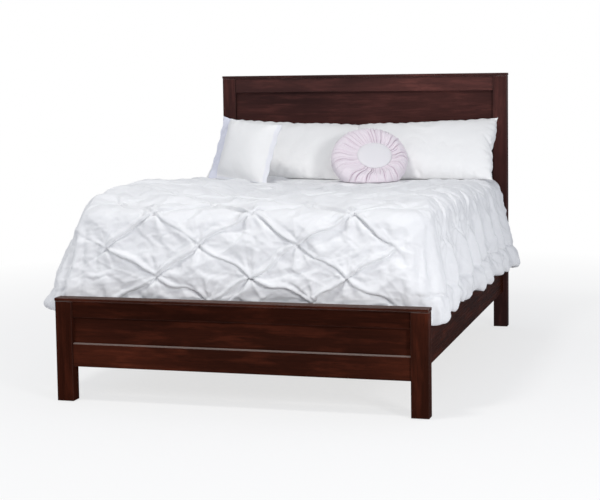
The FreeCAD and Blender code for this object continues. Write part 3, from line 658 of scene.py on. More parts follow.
class Tucks:
    """Heights of the pinch pleats over the cloth, from its flat coordinates."""

    # Pinches of the front: (column, row) in half steps, and how far each is pulled off its place
    PULLED = (((-1, 0), (-0.006, 0.0)), ((1, 0), (0.005, 0.0)), ((-1.5, 1), (-0.006, -0.027)),
              ((-0.5, 1), (-0.011, -0.002)), ((0.5, 1), (-0.008, 0.006)), ((1.5, 1), (-0.021, 0.004)),
              ((-1, 2), (0.0115, -0.003)), ((0, 2), (-0.002, -0.005)), ((1, 2), (-0.0145, 0.006)),
              ((0.5, 3), (0.059, 0.04)), ((1.5, 3), (-0.026, 0.04)), ((-0.5, 3), (0.03, 0.03)))
    # Place of the middle column, how wide a pulled pinch moves its neighbourhood, and how far out
    # the rays of a pinch are highest
    COLUMN = 0.04
    REACH = 0.1
    RAYS = 0.034
    FINE_RAYS = 0.040
    # Height of the rays of a pinch and depth of its middle, in the cloth and in its fine creases
    RAY_HEIGHT = 0.0075
    PINCH_DEPTH = 0.014
    FINE_RAY_HEIGHT = 0.0050
    FINE_PINCH_DEPTH = 0.0045
    # Height of the crisp line on a tuck, and depth and distance of the one beside it
    LINE_HEIGHT = 0.0042
    LINE_DEPTH = 0.0060
    LINE_GAP = 0.0110

    def __init__(self, looks, first_row):
        self.across = looks.pinch_across
        self.along = looks.pinch_along
        self.ridge = looks.ridge
        self.puff = looks.puff
        self.start = Vector((self.COLUMN, first_row))
        self.rates = (1 / self.across, 1 / (2 * self.along))
        self.line = 1 / math.hypot(self.rates[0], self.rates[1])
        self.pulls = [(self.start.x + c * self.across, self.start.y - r * self.along, du, dv)
                      for (c, r), (du, dv) in self.PULLED]

    def pull(self, u, v):
        """The pinches' own offsets near them, and a slow wander elsewhere."""
        total, du, dv = 0.02, 0.0, 0.0
        for pu, pv, su, sv in self.pulls:
            far = ((u - pu) ** 2 + (v - pv) ** 2) / self.REACH ** 2
            if far < 9:
                weight = math.exp(-far)
                total, du, dv = total + weight, du + weight * su, dv + weight * sv
        back = smooth_step(self.start.y, self.start.y + 0.3, v)
        place = Vector((u * 2.1, v * 2.1, 9.1))
        return (du / total + back * 0.014 * noise.noise(place),
                dv / total + back * 0.010 * noise.noise(place + Vector((5.0, 1.0, 4.4))))

    def lattice(self, u, v):
        """Coordinates whose whole numbers are the two families of tucks."""
        du, dv = self.pull(u, v)
        x, y = (u - self.start.x - du) * self.rates[0], (v - self.start.y - dv) * self.rates[1]
        return x + y, x - y

    def from_pinch(self, p, q):
        """Offsets in metres from the nearest pinch, and its two whole numbers."""
        near_p, near_q = round(p), round(q)
        off_p, off_q = p - near_p, q - near_q
        return ((off_p + off_q) / 2 / self.rates[0], (off_p - off_q) / 2 / self.rates[1], near_p, near_q)

    def lines(self, p, q):
        """For both families: distance from the tuck's line, share along it, and its own random pick."""
        for a, b, sign, seed in ((p, q, 1, 1.3), (q, p, -1, 8.3)):
            row, piece = round(a), math.floor(b)
            pick = noise_xyz(row * 3.7, piece * 2.9, seed)
            along = b - piece
            bend = 0.007 * math.sin(math.tau * along) * (1 if pick > 0 else -1)
            yield sign * (a - row) * self.line - bend, along, pick

    def height(self, u, v):
        """Tucks, puffs and pinches at the scale of the simulated cloth."""
        p, q = self.lattice(u, v)
        # The cloth of each diamond is hollow in its upper half and bellies out in its lower half
        level = (p - math.floor(p)) - (q - math.floor(q))
        belly = 0.35 - 1.15 * level
        total = self.puff * abs(math.sin(math.pi * p) * math.sin(math.pi * q)) ** 0.55 * belly
        for side, along, pick in self.lines(p, q):
            spread = math.sin(math.pi * along)
            width = mix(0.007, 0.0125, spread ** 0.8) * (0.6 if side < 0 else 1.0)
            crest = bell(side, width)
            if side < 0:
                crest -= 0.35 * bell(side + 1.7 * width, 1.1 * width)
            total += self.ridge * mix(1.0, 0.6 + 0.7 * pick, spread) * crest
        dx, dy, near_p, near_q = self.from_pinch(p, q)
        reach = math.hypot(dx, dy)
        star = self.star(dx, dy, near_p, near_q, 0.8)
        total += self.RAY_HEIGHT * star * (reach / self.RAYS) * math.exp(1 - reach / self.RAYS)
        return total - self.PINCH_DEPTH * bell(reach, 0.016)

    def star(self, dx, dy, near_p, near_q, sharp):
        count = 7 + (near_p * 5 + near_q * 3) % 3
        phase = (near_p * 1.7 + near_q * 2.9) % math.pi
        return (1 - abs(math.sin(math.atan2(dy, dx) * count / 2 + phase))) ** sharp

    def detail(self, u, v):
        """Crisp lines beside the tucks and fine rays at the pinches, added once the cloth has settled."""
        p, q = self.lattice(u, v)
        total = 0.0
        for side, along, pick in self.lines(p, q):
            if abs(side) < 0.05:
                spread = math.sin(math.pi * along)
                gone = mix(1.0, smooth_step(-0.45, 0.1, pick), spread)
                total += self.LINE_HEIGHT * gone * bell(side, 0.0055)
                total -= self.LINE_DEPTH * gone * bell(side + self.LINE_GAP, 0.0045)
        dx, dy, near_p, near_q = self.from_pinch(p, q)
        reach = math.hypot(dx, dy)
        if reach < 0.2:
            star = self.star(dx, dy, near_q, near_p, 3.0)
            far = reach / self.FINE_RAYS
            total += self.FINE_RAY_HEIGHT * star * far * math.exp(1 - far)
        total -= self.FINE_PINCH_DEPTH * bell(reach, 0.0065)
        return total


def slanting(u, v, slant, scale, seed):
    """Creases that run at this slant, several times longer than they lie apart."""
    c, s = math.cos(slant), math.sin(slant)
    return creases((u * c + v * s) * 0.35, (v * c - u * s) * 1.3, scale, seed)


def creases(u, v, scale, seed):
    """Sharp random creases, 1 on their lines."""
    bent = noise_xyz(u * scale * 0.3, v * scale * 0.3, 6.0 + seed) * 1.4
    value = noise_xyz(u * scale + bent, v * scale * 0.8, 11.5 * seed)
    return (1 - min(abs(value) * 3.2, 1.0)) ** 2


class Cloth:
    """One layer of the comforter: its mesh, with the drape's place and normal of every point."""

    def __init__(self, drape, cell):
        bm = bmesh.new()
        across = round(2 * drape.half / cell)
        along = round((drape.head - drape.foot) / cell)
        bmesh.ops.create_grid(bm, x_segments=across, y_segments=along, size=1.0)
        self.bm, self.flat, self.base, self.normal, self.fall = bm, {}, {}, {}, {}
        middle = (drape.head + drape.foot) / 2
        for vert in bm.verts:
            x, y = vert.co.x * drape.half, middle + vert.co.y * (drape.head - drape.foot) / 2
            vert.co = drape.top_point(x, y)
            self.flat[vert], self.base[vert], self.normal[vert] = (x, y), vert.co.copy(), UP.copy()
            self.fall[vert] = 0.0
        rim = [e for e in bm.edges if e.is_boundary
               and not all(v.co.y > drape.head - 1e-5 for v in e.verts)]
        start = {v: (self.base[v].copy(), drape.outward(self.base[v])) for e in rim for v in e.verts}
        rows = round(max(drape.drop_length(*s) for s in start.values()) / cell)
        for row in range(1, rows + 1):
            new, rim = extrude_rim(bm, rim)
            for vert in new:
                above = next(e.other_vert(vert) for e in vert.link_edges if e.other_vert(vert) not in new)
                point, way = start[vert] = start[above]
                distance = drape.drop_length(point, way) * row / rows
                place, self.normal[vert] = drape.drop_point(point, way, distance)
                self.base[vert], vert.co = place, place
                self.flat[vert] = (mix(point.x + way.x * distance, place.x, abs(way.y) ** 3),
                                   point.y + way.y * distance)
                self.fall[vert] = row / rows

    def lift(self, height):
        for vert in self.bm.verts:
            vert.co = self.base[vert] + self.normal[vert] * height(vert)


# How far the settled cloth may have moved, and how far a pinch holds it
FARTHEST = 0.022
HELD = 0.014
# Where the pillows and the cushion stand: centre, half sizes and turn of each print
PRINTS = ((0.0, 0.99, 0.80, 0.33, 0.0), (-0.555, 0.49, 0.20, 0.055, -28.0),
          (0.155, 0.53, 0.14, 0.06, 18.0))


def from_prints(x, y):
    """Level distance from the nearest print, 0 inside it."""
    nearest = 1.0
    for px, py, half_x, half_y, turn in PRINTS:
        c, s = math.cos(math.radians(turn)), math.sin(math.radians(turn))
        dx, dy = x - px, y - py
        a, b = abs(dx * c + dy * s) - half_x, abs(dy * c - dx * s) - half_y
        nearest = min(nearest, math.hypot(max(a, 0), max(b, 0)))
    return nearest


def press_down(co, fall, under):
    """Flat under a pillow, at most at the CAD top beside it, and freer away from it."""
    away = from_prints(co.x, co.y)
    room = 0.034 * smooth_step(0.0, 0.085, away) + 0.10 * (1 - smooth_step(0.05, 0.35, co.y))
    pressed = (1 - smooth_step(0.0, 0.035, away)) * (1 - smooth_step(0.0, 0.04, fall))
    return mix(min(co.z, under + room), under, pressed)


def comforter_outer(looks, drape, material):
    """The upper cloth with its tucks, let out and settled between the pinches that hold it.

    The flat place and the fall of each point are kept in the attribute "cloth_place".
    """
    tucks = Tucks(looks, drape.foot - 0.03)
    layer = Cloth(drape, looks.cell)

    def height(vert):
        u, v = layer.flat[vert]
        fall = layer.fall[vert]
        near_hem = smooth_step(0.97, 1.0, fall)
        on_top, share = drape.tuck_share(u, v, fall)
        loose = 0.003 * noise_xyz(u * 6, v * 6, 2.2) \
            + 0.004 * slanting(u, v, 0.5, 11, 1) * (1 - 0.7 * on_top)
        return tucks.height(u, v) * share + loose - 0.006 - 0.008 * near_hem

    layer.lift(height)
    layer.bm.verts.index_update()
    held, flat = [], []
    for vert in layer.bm.verts:
        u, v = layer.flat[vert]
        dx, dy, _, _ = tucks.from_pinch(*tucks.lattice(u, v))
        if math.hypot(dx, dy) < HELD or v > drape.head - 0.03:
            held.append(vert.index)
        flat.append((u, v, layer.fall[vert]))
    piece = make_piece(layer.bm, "comforter_cloth", material)
    places = piece.data.attributes.new("cloth_place", "FLOAT_VECTOR", "POINT")
    places.data.foreach_set("vector", [x for place in flat for x in place])
    hold(piece, "held", held)
    before = [v.co.copy() for v in piece.data.vertices]
    settle(piece, 0.12, 14, quality=4, mass=0.25, tension_stiffness=10, compression_stiffness=10,
           shear_stiffness=3, bending_stiffness=0.02, shrink_min=-looks.growth,
           vertex_group_mass="held", pin_stiffness=1.0)
    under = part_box("comforter")[1].z
    for vert, start, place in zip(piece.data.vertices, before, flat):
        moved = vert.co - start
        if moved.length > FARTHEST:
            vert.co = start + moved * (FARTHEST / moved.length)
        vert.co.z = press_down(vert.co, place[2], under)
    finer = piece.modifiers.new("Finer", "SUBSURF")
    finer.levels = finer.render_levels = 1
    apply_modifiers(piece)
    return piece, tucks


def comforter_piece(looks, material):
    """The filled cloth: the upper cloth with fine creases, a plain lower cloth and a closed hem."""
    drape = Drape(looks)
    piece, tucks = comforter_outer(looks, drape, material)
    mesh = piece.data
    count = len(mesh.vertices)
    places = [0.0] * (3 * count)
    mesh.attributes["cloth_place"].data.foreach_get("vector", places)
    normals = [v.normal.copy() for v in mesh.vertices]
    for i, (vert, normal) in enumerate(zip(mesh.vertices, normals)):
        u, v, fall = places[3 * i:3 * i + 3]
        small = 0.0030 * slanting(u, v, 0.6, 17, 2) + 0.0030 * slanting(u, v, -0.5, 15, 3) \
            + 0.0016 * slanting(u, v, 0.1, 30, 4)
        quiet = mix(0.35, 1.0, smooth_step(0.0, 0.15, fall))
        free = max(smooth_step(0.0, 0.05, from_prints(*vert.co.xy)), fall)
        inside = (1 - smooth_step(0.985, 1.0, fall)) * free
        crisp = min(drape.tuck_share(u, v, fall)[1] * 1.4, 1.0)
        vert.co += normal * (tucks.detail(u, v) * crisp + small * quiet) * inside
    bm = bmesh.new()
    bm.from_mesh(mesh)
    close_hem(bm, drape, looks)
    bm.to_mesh(mesh)
    bm.free()
    for face in mesh.polygons:
        face.use_smooth = True
    return piece


def close_hem(bm, drape, looks):
    """Adds a plain lower cloth, coarser than the upper one, and joins their rims."""
    rim = [e for e in bm.edges if e.is_boundary]
    lower = Cloth(drape, 2 * looks.cell)
    lower.lift(lambda v: -looks.shell)
    lower_mesh = bpy.data.meshes.new("lower_cloth")
    lower.bm.to_mesh(lower_mesh)
    lower.bm.free()
    bm.from_mesh(lower_mesh)
    bpy.data.meshes.remove(lower_mesh)
    known = set(rim)
    lower_rim = [e for e in bm.edges if e.is_boundary and e not in known]
    bmesh.ops.bridge_loops(bm, edges=rim + lower_rim)
    bmesh.ops.recalc_face_normals(bm, faces=bm.faces)


# Pillows

def soft_floor(value, floor, give=0.012):
    """Presses what lies below the floor flat, with a soft roll above it."""
    if value > floor + give:
        return value
    return floor + give * math.exp((value - floor - give) / give)


def stand(centre, lean, turn, tilt=0.0):
    """Tilts an upright form in its own plane, leans it back, turns it and moves it to its place.

    The angles are in degrees.
    """
    return (Matrix.Translation(centre) @ Matrix.Rotation(math.radians(turn), 4, "Z")
            @ Matrix.Rotation(-math.radians(lean), 4, "X") @ Matrix.Rotation(math.radians(tilt), 4, "Y"))


def place_soft(mesh, size, turned, floor, wall=None, shape=None):
    """Scales an upright soft form to its size, shapes it and sets it on the bed."""
    coords = [v.co.copy() for v in mesh.vertices]
    low = [min(c[i] for c in coords) for i in range(3)]
    high = [max(c[i] for c in coords) for i in range(3)]
    for vert in mesh.vertices:
        co = Vector([(vert.co[i] - (low[i] + high[i]) / 2) * size[i] / (high[i] - low[i])
                     for i in range(3)])
        if shape:
            co = shape(co)
        co = turned @ co
        co.z = soft_floor(co.z, floor)
        if wall is not None:
            co.y = -soft_floor(-co.y, -wall)
        vert.co = co


# Width, thickness and height of the upright pillows, and their borders: left, right and below
BACK_SIZE = (0.774, 0.19, 0.49)
LUMBAR_SIZE = (0.44, 0.13, 0.35)
NO_FLANGES = (0.0, 0.0, 0.0)


def bed_top():
    """Height on which the pillows stand, just clear of the comforter's solid."""
    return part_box("comforter")[1].z + 0.0006


def pillow_mesh(size, cell, seed, draw_in, flanges):
    """Two crowned faces of cloth sewn together round the edge, whose sides pull in.

    Flanges are flat borders outside the seam, and a quarter of the lower one is at the top. Their
    points are returned, because the filling doesn't reach them.
    """
    width, thickness, height = size
    left, right, below = flanges
    bm = bmesh.new()
    border = bm.verts.layers.float.new("border")
    across, up = round(width / cell), round(height / cell)
    bmesh.ops.create_grid(bm, x_segments=across, y_segments=up, size=1.0)
    # A corner square cut off by its own diagonal would lie in one plane with the one behind it
    corners = [v.link_faces[0] for v in bm.verts if len(v.link_faces) == 1]
    bmesh.ops.poke(bm, faces=corners)
    for vert in bm.verts:
        # Shares of the way from the middle to the edge, and to the seam inside the border
        p, q = vert.co.x, vert.co.y
        a = min(abs(p) / (1 - 2 * (left if p < 0 else right) / width), 1.0)
        b = min(abs(q) / (1 - 2 * (below if q < 0 else below * 0.25) / height), 1.0)
        dome = ((1 - a ** 4) * (1 - b ** 4)) ** 0.62
        slack = 0.004 * noise_xyz(p * 8, q * 6, seed)
        depth = (thickness * 0.44 + slack) * dome
        if below and not vert.is_boundary:
            depth = max(depth, 0.003)
        # The border attribute paints lavender shade, full on the left border and half at the right and
        # below
        if below and (a == 1.0 or (b == 1.0 and q < 0)):
            vert[border] = 1.0 if p < 0 and a == 1.0 else 0.5
        vert.co = Vector((p * (width / 2 - draw_in * 0.8 * (1 - q * q)), -depth,
                          q * (height / 2 - draw_in * (1 - p * p))))
    front = list(bm.verts)
    back = bmesh.ops.duplicate(bm, geom=front + list(bm.edges) + list(bm.faces))
    for vert in front:
        back["vert_map"][vert].co.y = -vert.co.y * (1 + 0.02 * math.sin(vert.co.x * 40 + seed))
    rim = [v for v in bm.verts if v.is_boundary]
    bmesh.ops.remove_doubles(bm, verts=rim, dist=1e-5)
    bmesh.ops.recalc_face_normals(bm, faces=bm.faces)
    if bm.calc_volume(signed=True) < 0:
        bmesh.ops.reverse_faces(bm, faces=bm.faces)
    bm.verts.index_update()
    flat = [v.index for v in bm.verts if abs(v.co.y) < 0.0045] if below else []
    return bm, flat


def sham_shape(size, seed, ripple, side_ripple, ears, let_out, flanges):
    """Scalloped seams with small pleats that run in from them, pointed corners, and a border that
    turns back at the right.

    Ears are how far the corners stand out on the left and the right, and let_out gives back
    what the filling has drawn in at the middle of the sides.
    """
    width, thickness, height = size

    def scallops(along, side):
        wander = 1.3 * noise_xyz(along * 5, side, seed)
        return abs(math.sin(along / 0.057 * math.pi + wander))

    def shape(co):
        p, q = co.x * 2 / width, co.z * 2 / height
        top, side = math.copysign(1, q), math.copysign(1, p)
        co.x += side * let_out * abs(p) ** 3 * (1 - q * q)
        wave = scallops(co.x, top)
        co.z += top * ripple * smooth_step(0.8, 1.0, abs(q)) * (wave - 0.7) * (1 - abs(p) ** 6)
        pleat = (1 - wave) ** 2 * smooth_step(0.62, 0.95, abs(q)) * (1 - p ** 4)
        wave = scallops(co.z, 3 * side)
        co.x += side * side_ripple * smooth_step(0.86, 1.0, abs(p)) * (wave - 0.7) * (1 - abs(q) ** 4)
        pleat = max(pleat, (1 - wave) ** 2 * smooth_step(0.80, 0.97, abs(p)) * (1 - q ** 4))
        co.y *= 1 - (0.12 if flanges[2] else 0.30) * pleat
        corner = abs(p * q) ** 6
        co.x += side * ears[p > 0] * corner
        co.z += top * ears[p > 0] * corner
        if flanges[2]:
            border = max(abs(p) - 1 + 2 * flanges[p > 0] / width, 0) * width / 2
            co.y += border * (0.8 if p > 0 else -0.1) \
                + smooth_step(0, 0.01, border) * 0.004 * math.sin(co.z * 80 + 70 * border)
        return co
    return shape


def soft_creases(mesh, seed, depth, scale, floor):
    """Moves the points of a settled form along their normals in soft random creases."""
    normals = [v.normal.copy() for v in mesh.vertices]
    for vert, normal in zip(mesh.vertices, normals):
        if normal.y > 0.3:
            continue
        place = Vector((vert.co.x * 1.2, vert.co.y, vert.co.z * 0.7)) * scale + Vector((seed, 0, 0))
        bent = noise.noise(place * 0.6) * 1.5
        value = noise.noise(place + Vector((bent, bent, 0)))
        crease = (1 - min(abs(value) * 3.0, 1.0)) ** 2
        free = smooth_step(floor, floor + 0.05, vert.co.z)
        vert.co += normal * free * (noise.noise(place * 0.5) - crease * 0.8) * depth


# Round cushion

def spin_profile(profile, steps):
    """Spins a chain of (radius, depth) points round the Y axis into a closed ring."""
    bm = bmesh.new()
    chain = [bm.verts.new((r, y, 0)) for r, y in profile]
    edges = [bm.edges.new(pair) for pair in zip(chain, chain[1:])]
    bmesh.ops.spin(bm, geom=chain + edges, cent=(0, 0, 0), axis=(0, 1, 0), dvec=(0, 0, 0),
                   angle=math.tau, steps=steps, use_merge=True, use_duplicate=False)
    bmesh.ops.remove_doubles(bm, verts=bm.verts, dist=1e-6)
    bmesh.ops.recalc_face_normals(bm, faces=bm.faces)
    return bm


def cushion_profile(radius, thickness, hub):
    """Half section of the cushion, from the middle of the front, over the rim, to the back."""
    points = []
    rings = 30
    for i in range(rings + 1):
        t = i / rings
        angle = mix(-math.pi / 2, math.pi / 2, t)
        swell = math.cos(angle)
        r = mix(hub, radius, swell ** 0.62)
        points.append((r, thickness / 2 * math.copysign(abs(math.sin(angle)) ** 0.8, angle)
                       * mix(0.74, 1.0, smooth_step(0, 0.5, swell))))
    dish = 0.006
    front = [(hub * k, points[0][1] + dish * (1 - k)) for k in (0.0, 0.4, 0.8)]
    back = [(hub * k, points[-1][1] - dish * (1 - k)) for k in (0.8, 0.4, 0.0)]
    return front + points + back


def gathers(bm, count, hub, radius, seed, shift):
    """Sharp creases that fan out from the disc over the rim, of uneven depth and spacing.

    Their depth is kept in the attribute "gather", which the satin uses to paint pink shade into the
    creases. Shift moves the middle of each face off centre.
    """
    draw = random.Random(seed)
    starts = [(k + draw.uniform(-0.36, 0.36)) / count * math.tau for k in range(count)]
    depths = [draw.uniform(0.3, 1.0) for _ in range(count)]
    ends = [draw.uniform(0.6, 1.5) for _ in range(count)]
    kept = bm.verts.layers.float.new("gather")
    for vert in bm.verts:
        r = math.hypot(vert.co.x, vert.co.z)
        side = 0 if vert.co.y < 0 else 1
        out = (r - hub) / (radius - hub)
        dent = 0.0
        if r > hub * 0.9:
            turn = math.atan2(vert.co.z, vert.co.x) % math.tau
            bend = 0.05 * noise_xyz(vert.co.x * 12, vert.co.z * 12, seed + side)
            for start, deep, end in zip(starts, depths, ends):
                gap = (turn + bend + side * 0.05 - start + math.pi) % math.tau - math.pi
                if abs(gap) > 0.12:
                    continue
                width = 0.017 + 0.004 * min(out, 1)
                fade = (1 - smooth_step(end * 0.6, end, out)) * smooth_step(-0.12, 0.05, out)
                dent += deep * fade * bell(gap, width)
                dent -= 0.35 * deep * fade * bell(gap - 2.2 * width, 1.3 * width)
            vert[kept] = min(max(dent, 0.0), 1.0)
        soft = noise_xyz(vert.co.x * 17, vert.co.z * 17, 4.0 + side) * 0.0025
        inward = Vector((-vert.co.x * 0.35, -vert.co.y * 1.4, -vert.co.z * 0.35)).normalized()
        vert.co += inward * (dent * 0.011 + soft)
        pull = 1 - smooth_step(0.0, 0.9, out)
        vert.co += Vector((shift[0] if side == 0 else -shift[0], 0, shift[1])) * pull


def tint_where(material, attribute, tint, strength):
    """Turns the colour of a cloth towards the tint where the attribute says."""
    tree = material.node_tree
    shader = tree.nodes["Principled BSDF"]
    plain = shader.inputs["Base Color"].links[0].from_socket
    amount = add(tree, "ShaderNodeAttribute", attribute_name=attribute)
    share = times(tree, ramp(tree, amount.outputs["Fac"], 0.15, 0.9), strength)
    link(tree, mix_colours(tree, share, plain, tint), shader.inputs["Base Color"])
    return material


# Bedding under the comforter

FOUNDATION_TINT = (0.62, 0.6, 0.56)
POCKET_TINT = (0.8, 0.8, 0.78)
COIL_PITCH = 0.068


def round_plan(x, y, half_x, half_y, corner):
    """Maps a point of a rectangle into the same rectangle with round corners."""
    inner_x, inner_y = half_x - corner, half_y - corner
    p, q = (abs(x) - inner_x) / corner, (abs(y) - inner_y) / corner
    if p <= 0 or q <= 0:
        return x, y
    out_x, out_y = round_corner(p, q, corner)
    return math.copysign(inner_x + out_x, x), math.copysign(inner_y + out_y, y)


def upholstered_block(low, high, corner, cell, quilt, profile):
    """Upper half from a quilted grid whose rim runs down by the profile, then mirrored.

    The profile is a list of (inset, drop) pairs, and its last row, at half height, is added here.
    """
    bm = bmesh.new()
    middle = (low + high) / 2
    half = (high - low) / 2
    rows = (*profile, (0.0, half.z))
    inset, top = rows[0]
    half_x, half_y = half.x - inset, half.y - inset
    bmesh.ops.create_grid(bm, x_segments=round(2 * half.x / cell), y_segments=round(2 * half.y / cell),
                          size=1.0)
    for vert in bm.verts:
        x, y = round_plan(vert.co.x * half_x, vert.co.y * half_y, half_x, half_y, corner - inset)
        edge = min(1 - abs(vert.co.x), 1 - abs(vert.co.y))
        vert.co = Vector((x, y, half.z - top + min(edge * 20, 1.0) * quilt(x, y)))
    rim = [e for e in bm.edges if e.is_boundary]
    for (inset, _), (next_inset, drop) in zip(rows, rows[1:]):
        new, rim = extrude_rim(bm, rim)
        for vert in new:
            away = Vector([max(abs(vert.co[i]) - half[i] + corner, 0) for i in (0, 1)]).normalized()
            for i in (0, 1):
                vert.co[i] += math.copysign(away[i], vert.co[i]) * (inset - next_inset)
            vert.co.z = half.z - drop
    bmesh.ops.mirror(bm, geom=list(bm.verts) + list(bm.edges) + list(bm.faces), axis="Z",
                     merge_dist=1e-5)
    bmesh.ops.translate(bm, verts=bm.verts, vec=middle)
    bmesh.ops.recalc_face_normals(bm, faces=bm.faces)
    return bm


def mattress_quilt(x, y):
    wave = abs(math.sin(math.pi * (x + y) / 0.19) * math.sin(math.pi * (x - y) / 0.19)) ** 0.5
    return wave * 0.006


def plain_cloth(x, y):
    return 0.0015 * noise_xyz(x * 6, y * 6, 1.0)


def foam_block(node):
    low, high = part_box(node)
    bm = bmesh.new()
    bmesh.ops.create_cube(bm, size=1.0)
    for vert in bm.verts:
        vert.co = Vector([mix(low[i] + 0.001, high[i] - 0.001, vert.co[i] + 0.5) for i in range(3)])
    upright = [e for e in bm.edges if abs(e.verts[0].co.z - e.verts[1].co.z) > 1e-4]
    bmesh.ops.bevel(bm, geom=upright, offset=0.05, segments=6, profile=0.5, affect="EDGES", material=-1)
    sharp = [e for e in bm.edges if e.calc_face_angle(0) > 1.0]
    bmesh.ops.bevel(bm, geom=sharp, offset=0.004, segments=2, profile=0.5, affect="EDGES", material=-1)
    return bm


# Operators

class BED_OT_stage(Operator):
    """Floor, lamps, sky and the camera"""
    bl_idname = "bed.stage"
    bl_label = "Stage"

    # The camera as solved from the corners of the posts: place, yaw, pitch and roll, and shift
    CAMERA_PLACE = (1.9413, -6.4858, 1.3738)
    CAMERA_TURN = (14.54, 4.53, -0.66)
    CAMERA_SHIFT = -0.1
    # Name, place, aim, size, power and colour
    LAMPS = (("key_lamp", (-0.9, -2.3, 5.0), (0.0, -0.4, 0.6), 1.0, 88.0, (1.0, 0.985, 0.955)),
             ("fill_lamp", (-1.8, -5.8, 2.0), (0.0, 0.3, 0.8), 3.0, 26.0, (0.985, 0.985, 1.0)),
             ("side_lamp", (4.2, -4.2, 2.15), (0.75, 0.0, 0.6), 1.2, 118.0, (0.99, 0.99, 1.0)))

    def execute(self, context):
        looks = context.scene.bed.stage
        context.scene.view_settings.view_transform = "Standard"
        self.floor(looks)
        self.sky(context)
        self.lamps()
        self.camera(context, looks)
        return {"FINISHED"}

    def floor(self, looks):
        """Paper that takes shadows and fades to white away from the bed."""
        bm = bmesh.new()
        bmesh.ops.create_grid(bm, x_segments=1, y_segments=1, size=40.0)
        material = bpy.data.materials.new("Paper floor")
        material.use_nodes = True
        tree = material.node_tree
        tree.nodes.clear()
        where = tree.nodes.new("ShaderNodeTexCoord").outputs["Object"]
        far = add(tree, "ShaderNodeVectorMath", operation="LENGTH", Vector=where).outputs["Value"]
        fade = add(tree, "ShaderNodeMapRange", Value=far, From_Min=1.3, From_Max=4.5, To_Min=0.7,
                   To_Max=1.0)
        path = tree.nodes.new("ShaderNodeLightPath")
        self.blend(tree, "ShaderNodeOutputMaterial",
                   times(tree, path.outputs["Is Camera Ray"], fade.outputs["Result"]),
                   add(tree, "ShaderNodeBsdfDiffuse", Color=looks.paper),
                   add(tree, "ShaderNodeEmission", Color=WHITE, Strength=1.0))
        make_piece(bm, "studio_floor", material)

    def sky(self, context):
        """Soft bluish light from a sky that looks white itself."""
        world = bpy.data.worlds.new("Studio")
        context.scene.world = world
        world.use_nodes = True
        tree = world.node_tree
        tree.nodes.clear()
        path = tree.nodes.new("ShaderNodeLightPath")
        seen = maths(tree, "MAXIMUM", path.outputs["Is Camera Ray"], path.outputs["Is Transmission Ray"])
        self.blend(tree, "ShaderNodeOutputWorld",
                   maths(tree, "MAXIMUM", seen, path.outputs["Is Glossy Ray"]),
                   add(tree, "ShaderNodeBackground", Color=(0.84, 0.89, 1.0), Strength=0.4),
                   add(tree, "ShaderNodeBackground", Color=WHITE, Strength=1.0))

    def blend(self, tree, output, share, plain, white):
        """Sends a mix of the two shaders to a new output."""
        mixed = add(tree, "ShaderNodeMixShader", Fac=share)
        for shader, socket in ((plain, 1), (white, 2)):
            link(tree, shader.outputs[0], mixed.inputs[socket])
        link(tree, mixed.outputs[0], tree.nodes.new(output).inputs["Surface"])

    def lamps(self):
        for name, place, aim, size, power, tint in self.LAMPS:
            lamp = bpy.data.lights.new(name, "AREA")
            lamp.shape = "DISK"
            lamp.size = size
            lamp.energy = power
            lamp.color = tint
            holder = bpy.data.objects.new(name, lamp)
            holder.location = place
            holder.rotation_euler = (Vector(aim) - Vector(place)).to_track_quat("-Z", "Y").to_euler()
            bpy.context.scene.collection.objects.link(holder)

    def camera(self, context, looks):
        data = bpy.data.cameras.new("camera")
        data.lens = looks.lens
        data.sensor_width = 36.0
        data.shift_x = data.shift_y = self.CAMERA_SHIFT
        data.clip_end = 200.0
        yaw, pitch, roll = (math.radians(angle) for angle in self.CAMERA_TURN)
        right = Vector((math.cos(yaw), math.sin(yaw), 0))
        ahead = Vector((-math.sin(yaw) * math.cos(pitch), math.cos(yaw) * math.cos(pitch),
                        -math.sin(pitch)))
        above = right.cross(ahead)
        rows = (right * math.cos(roll) + above * math.sin(roll),
                above * math.cos(roll) - right * math.sin(roll), -ahead)
        holder = bpy.data.objects.new("camera", data)
        turned = Matrix(rows).transposed().to_4x4()
        holder.matrix_world = Matrix.Translation(self.CAMERA_PLACE) @ turned
        context.scene.collection.objects.link(holder)
        context.scene.camera = holder


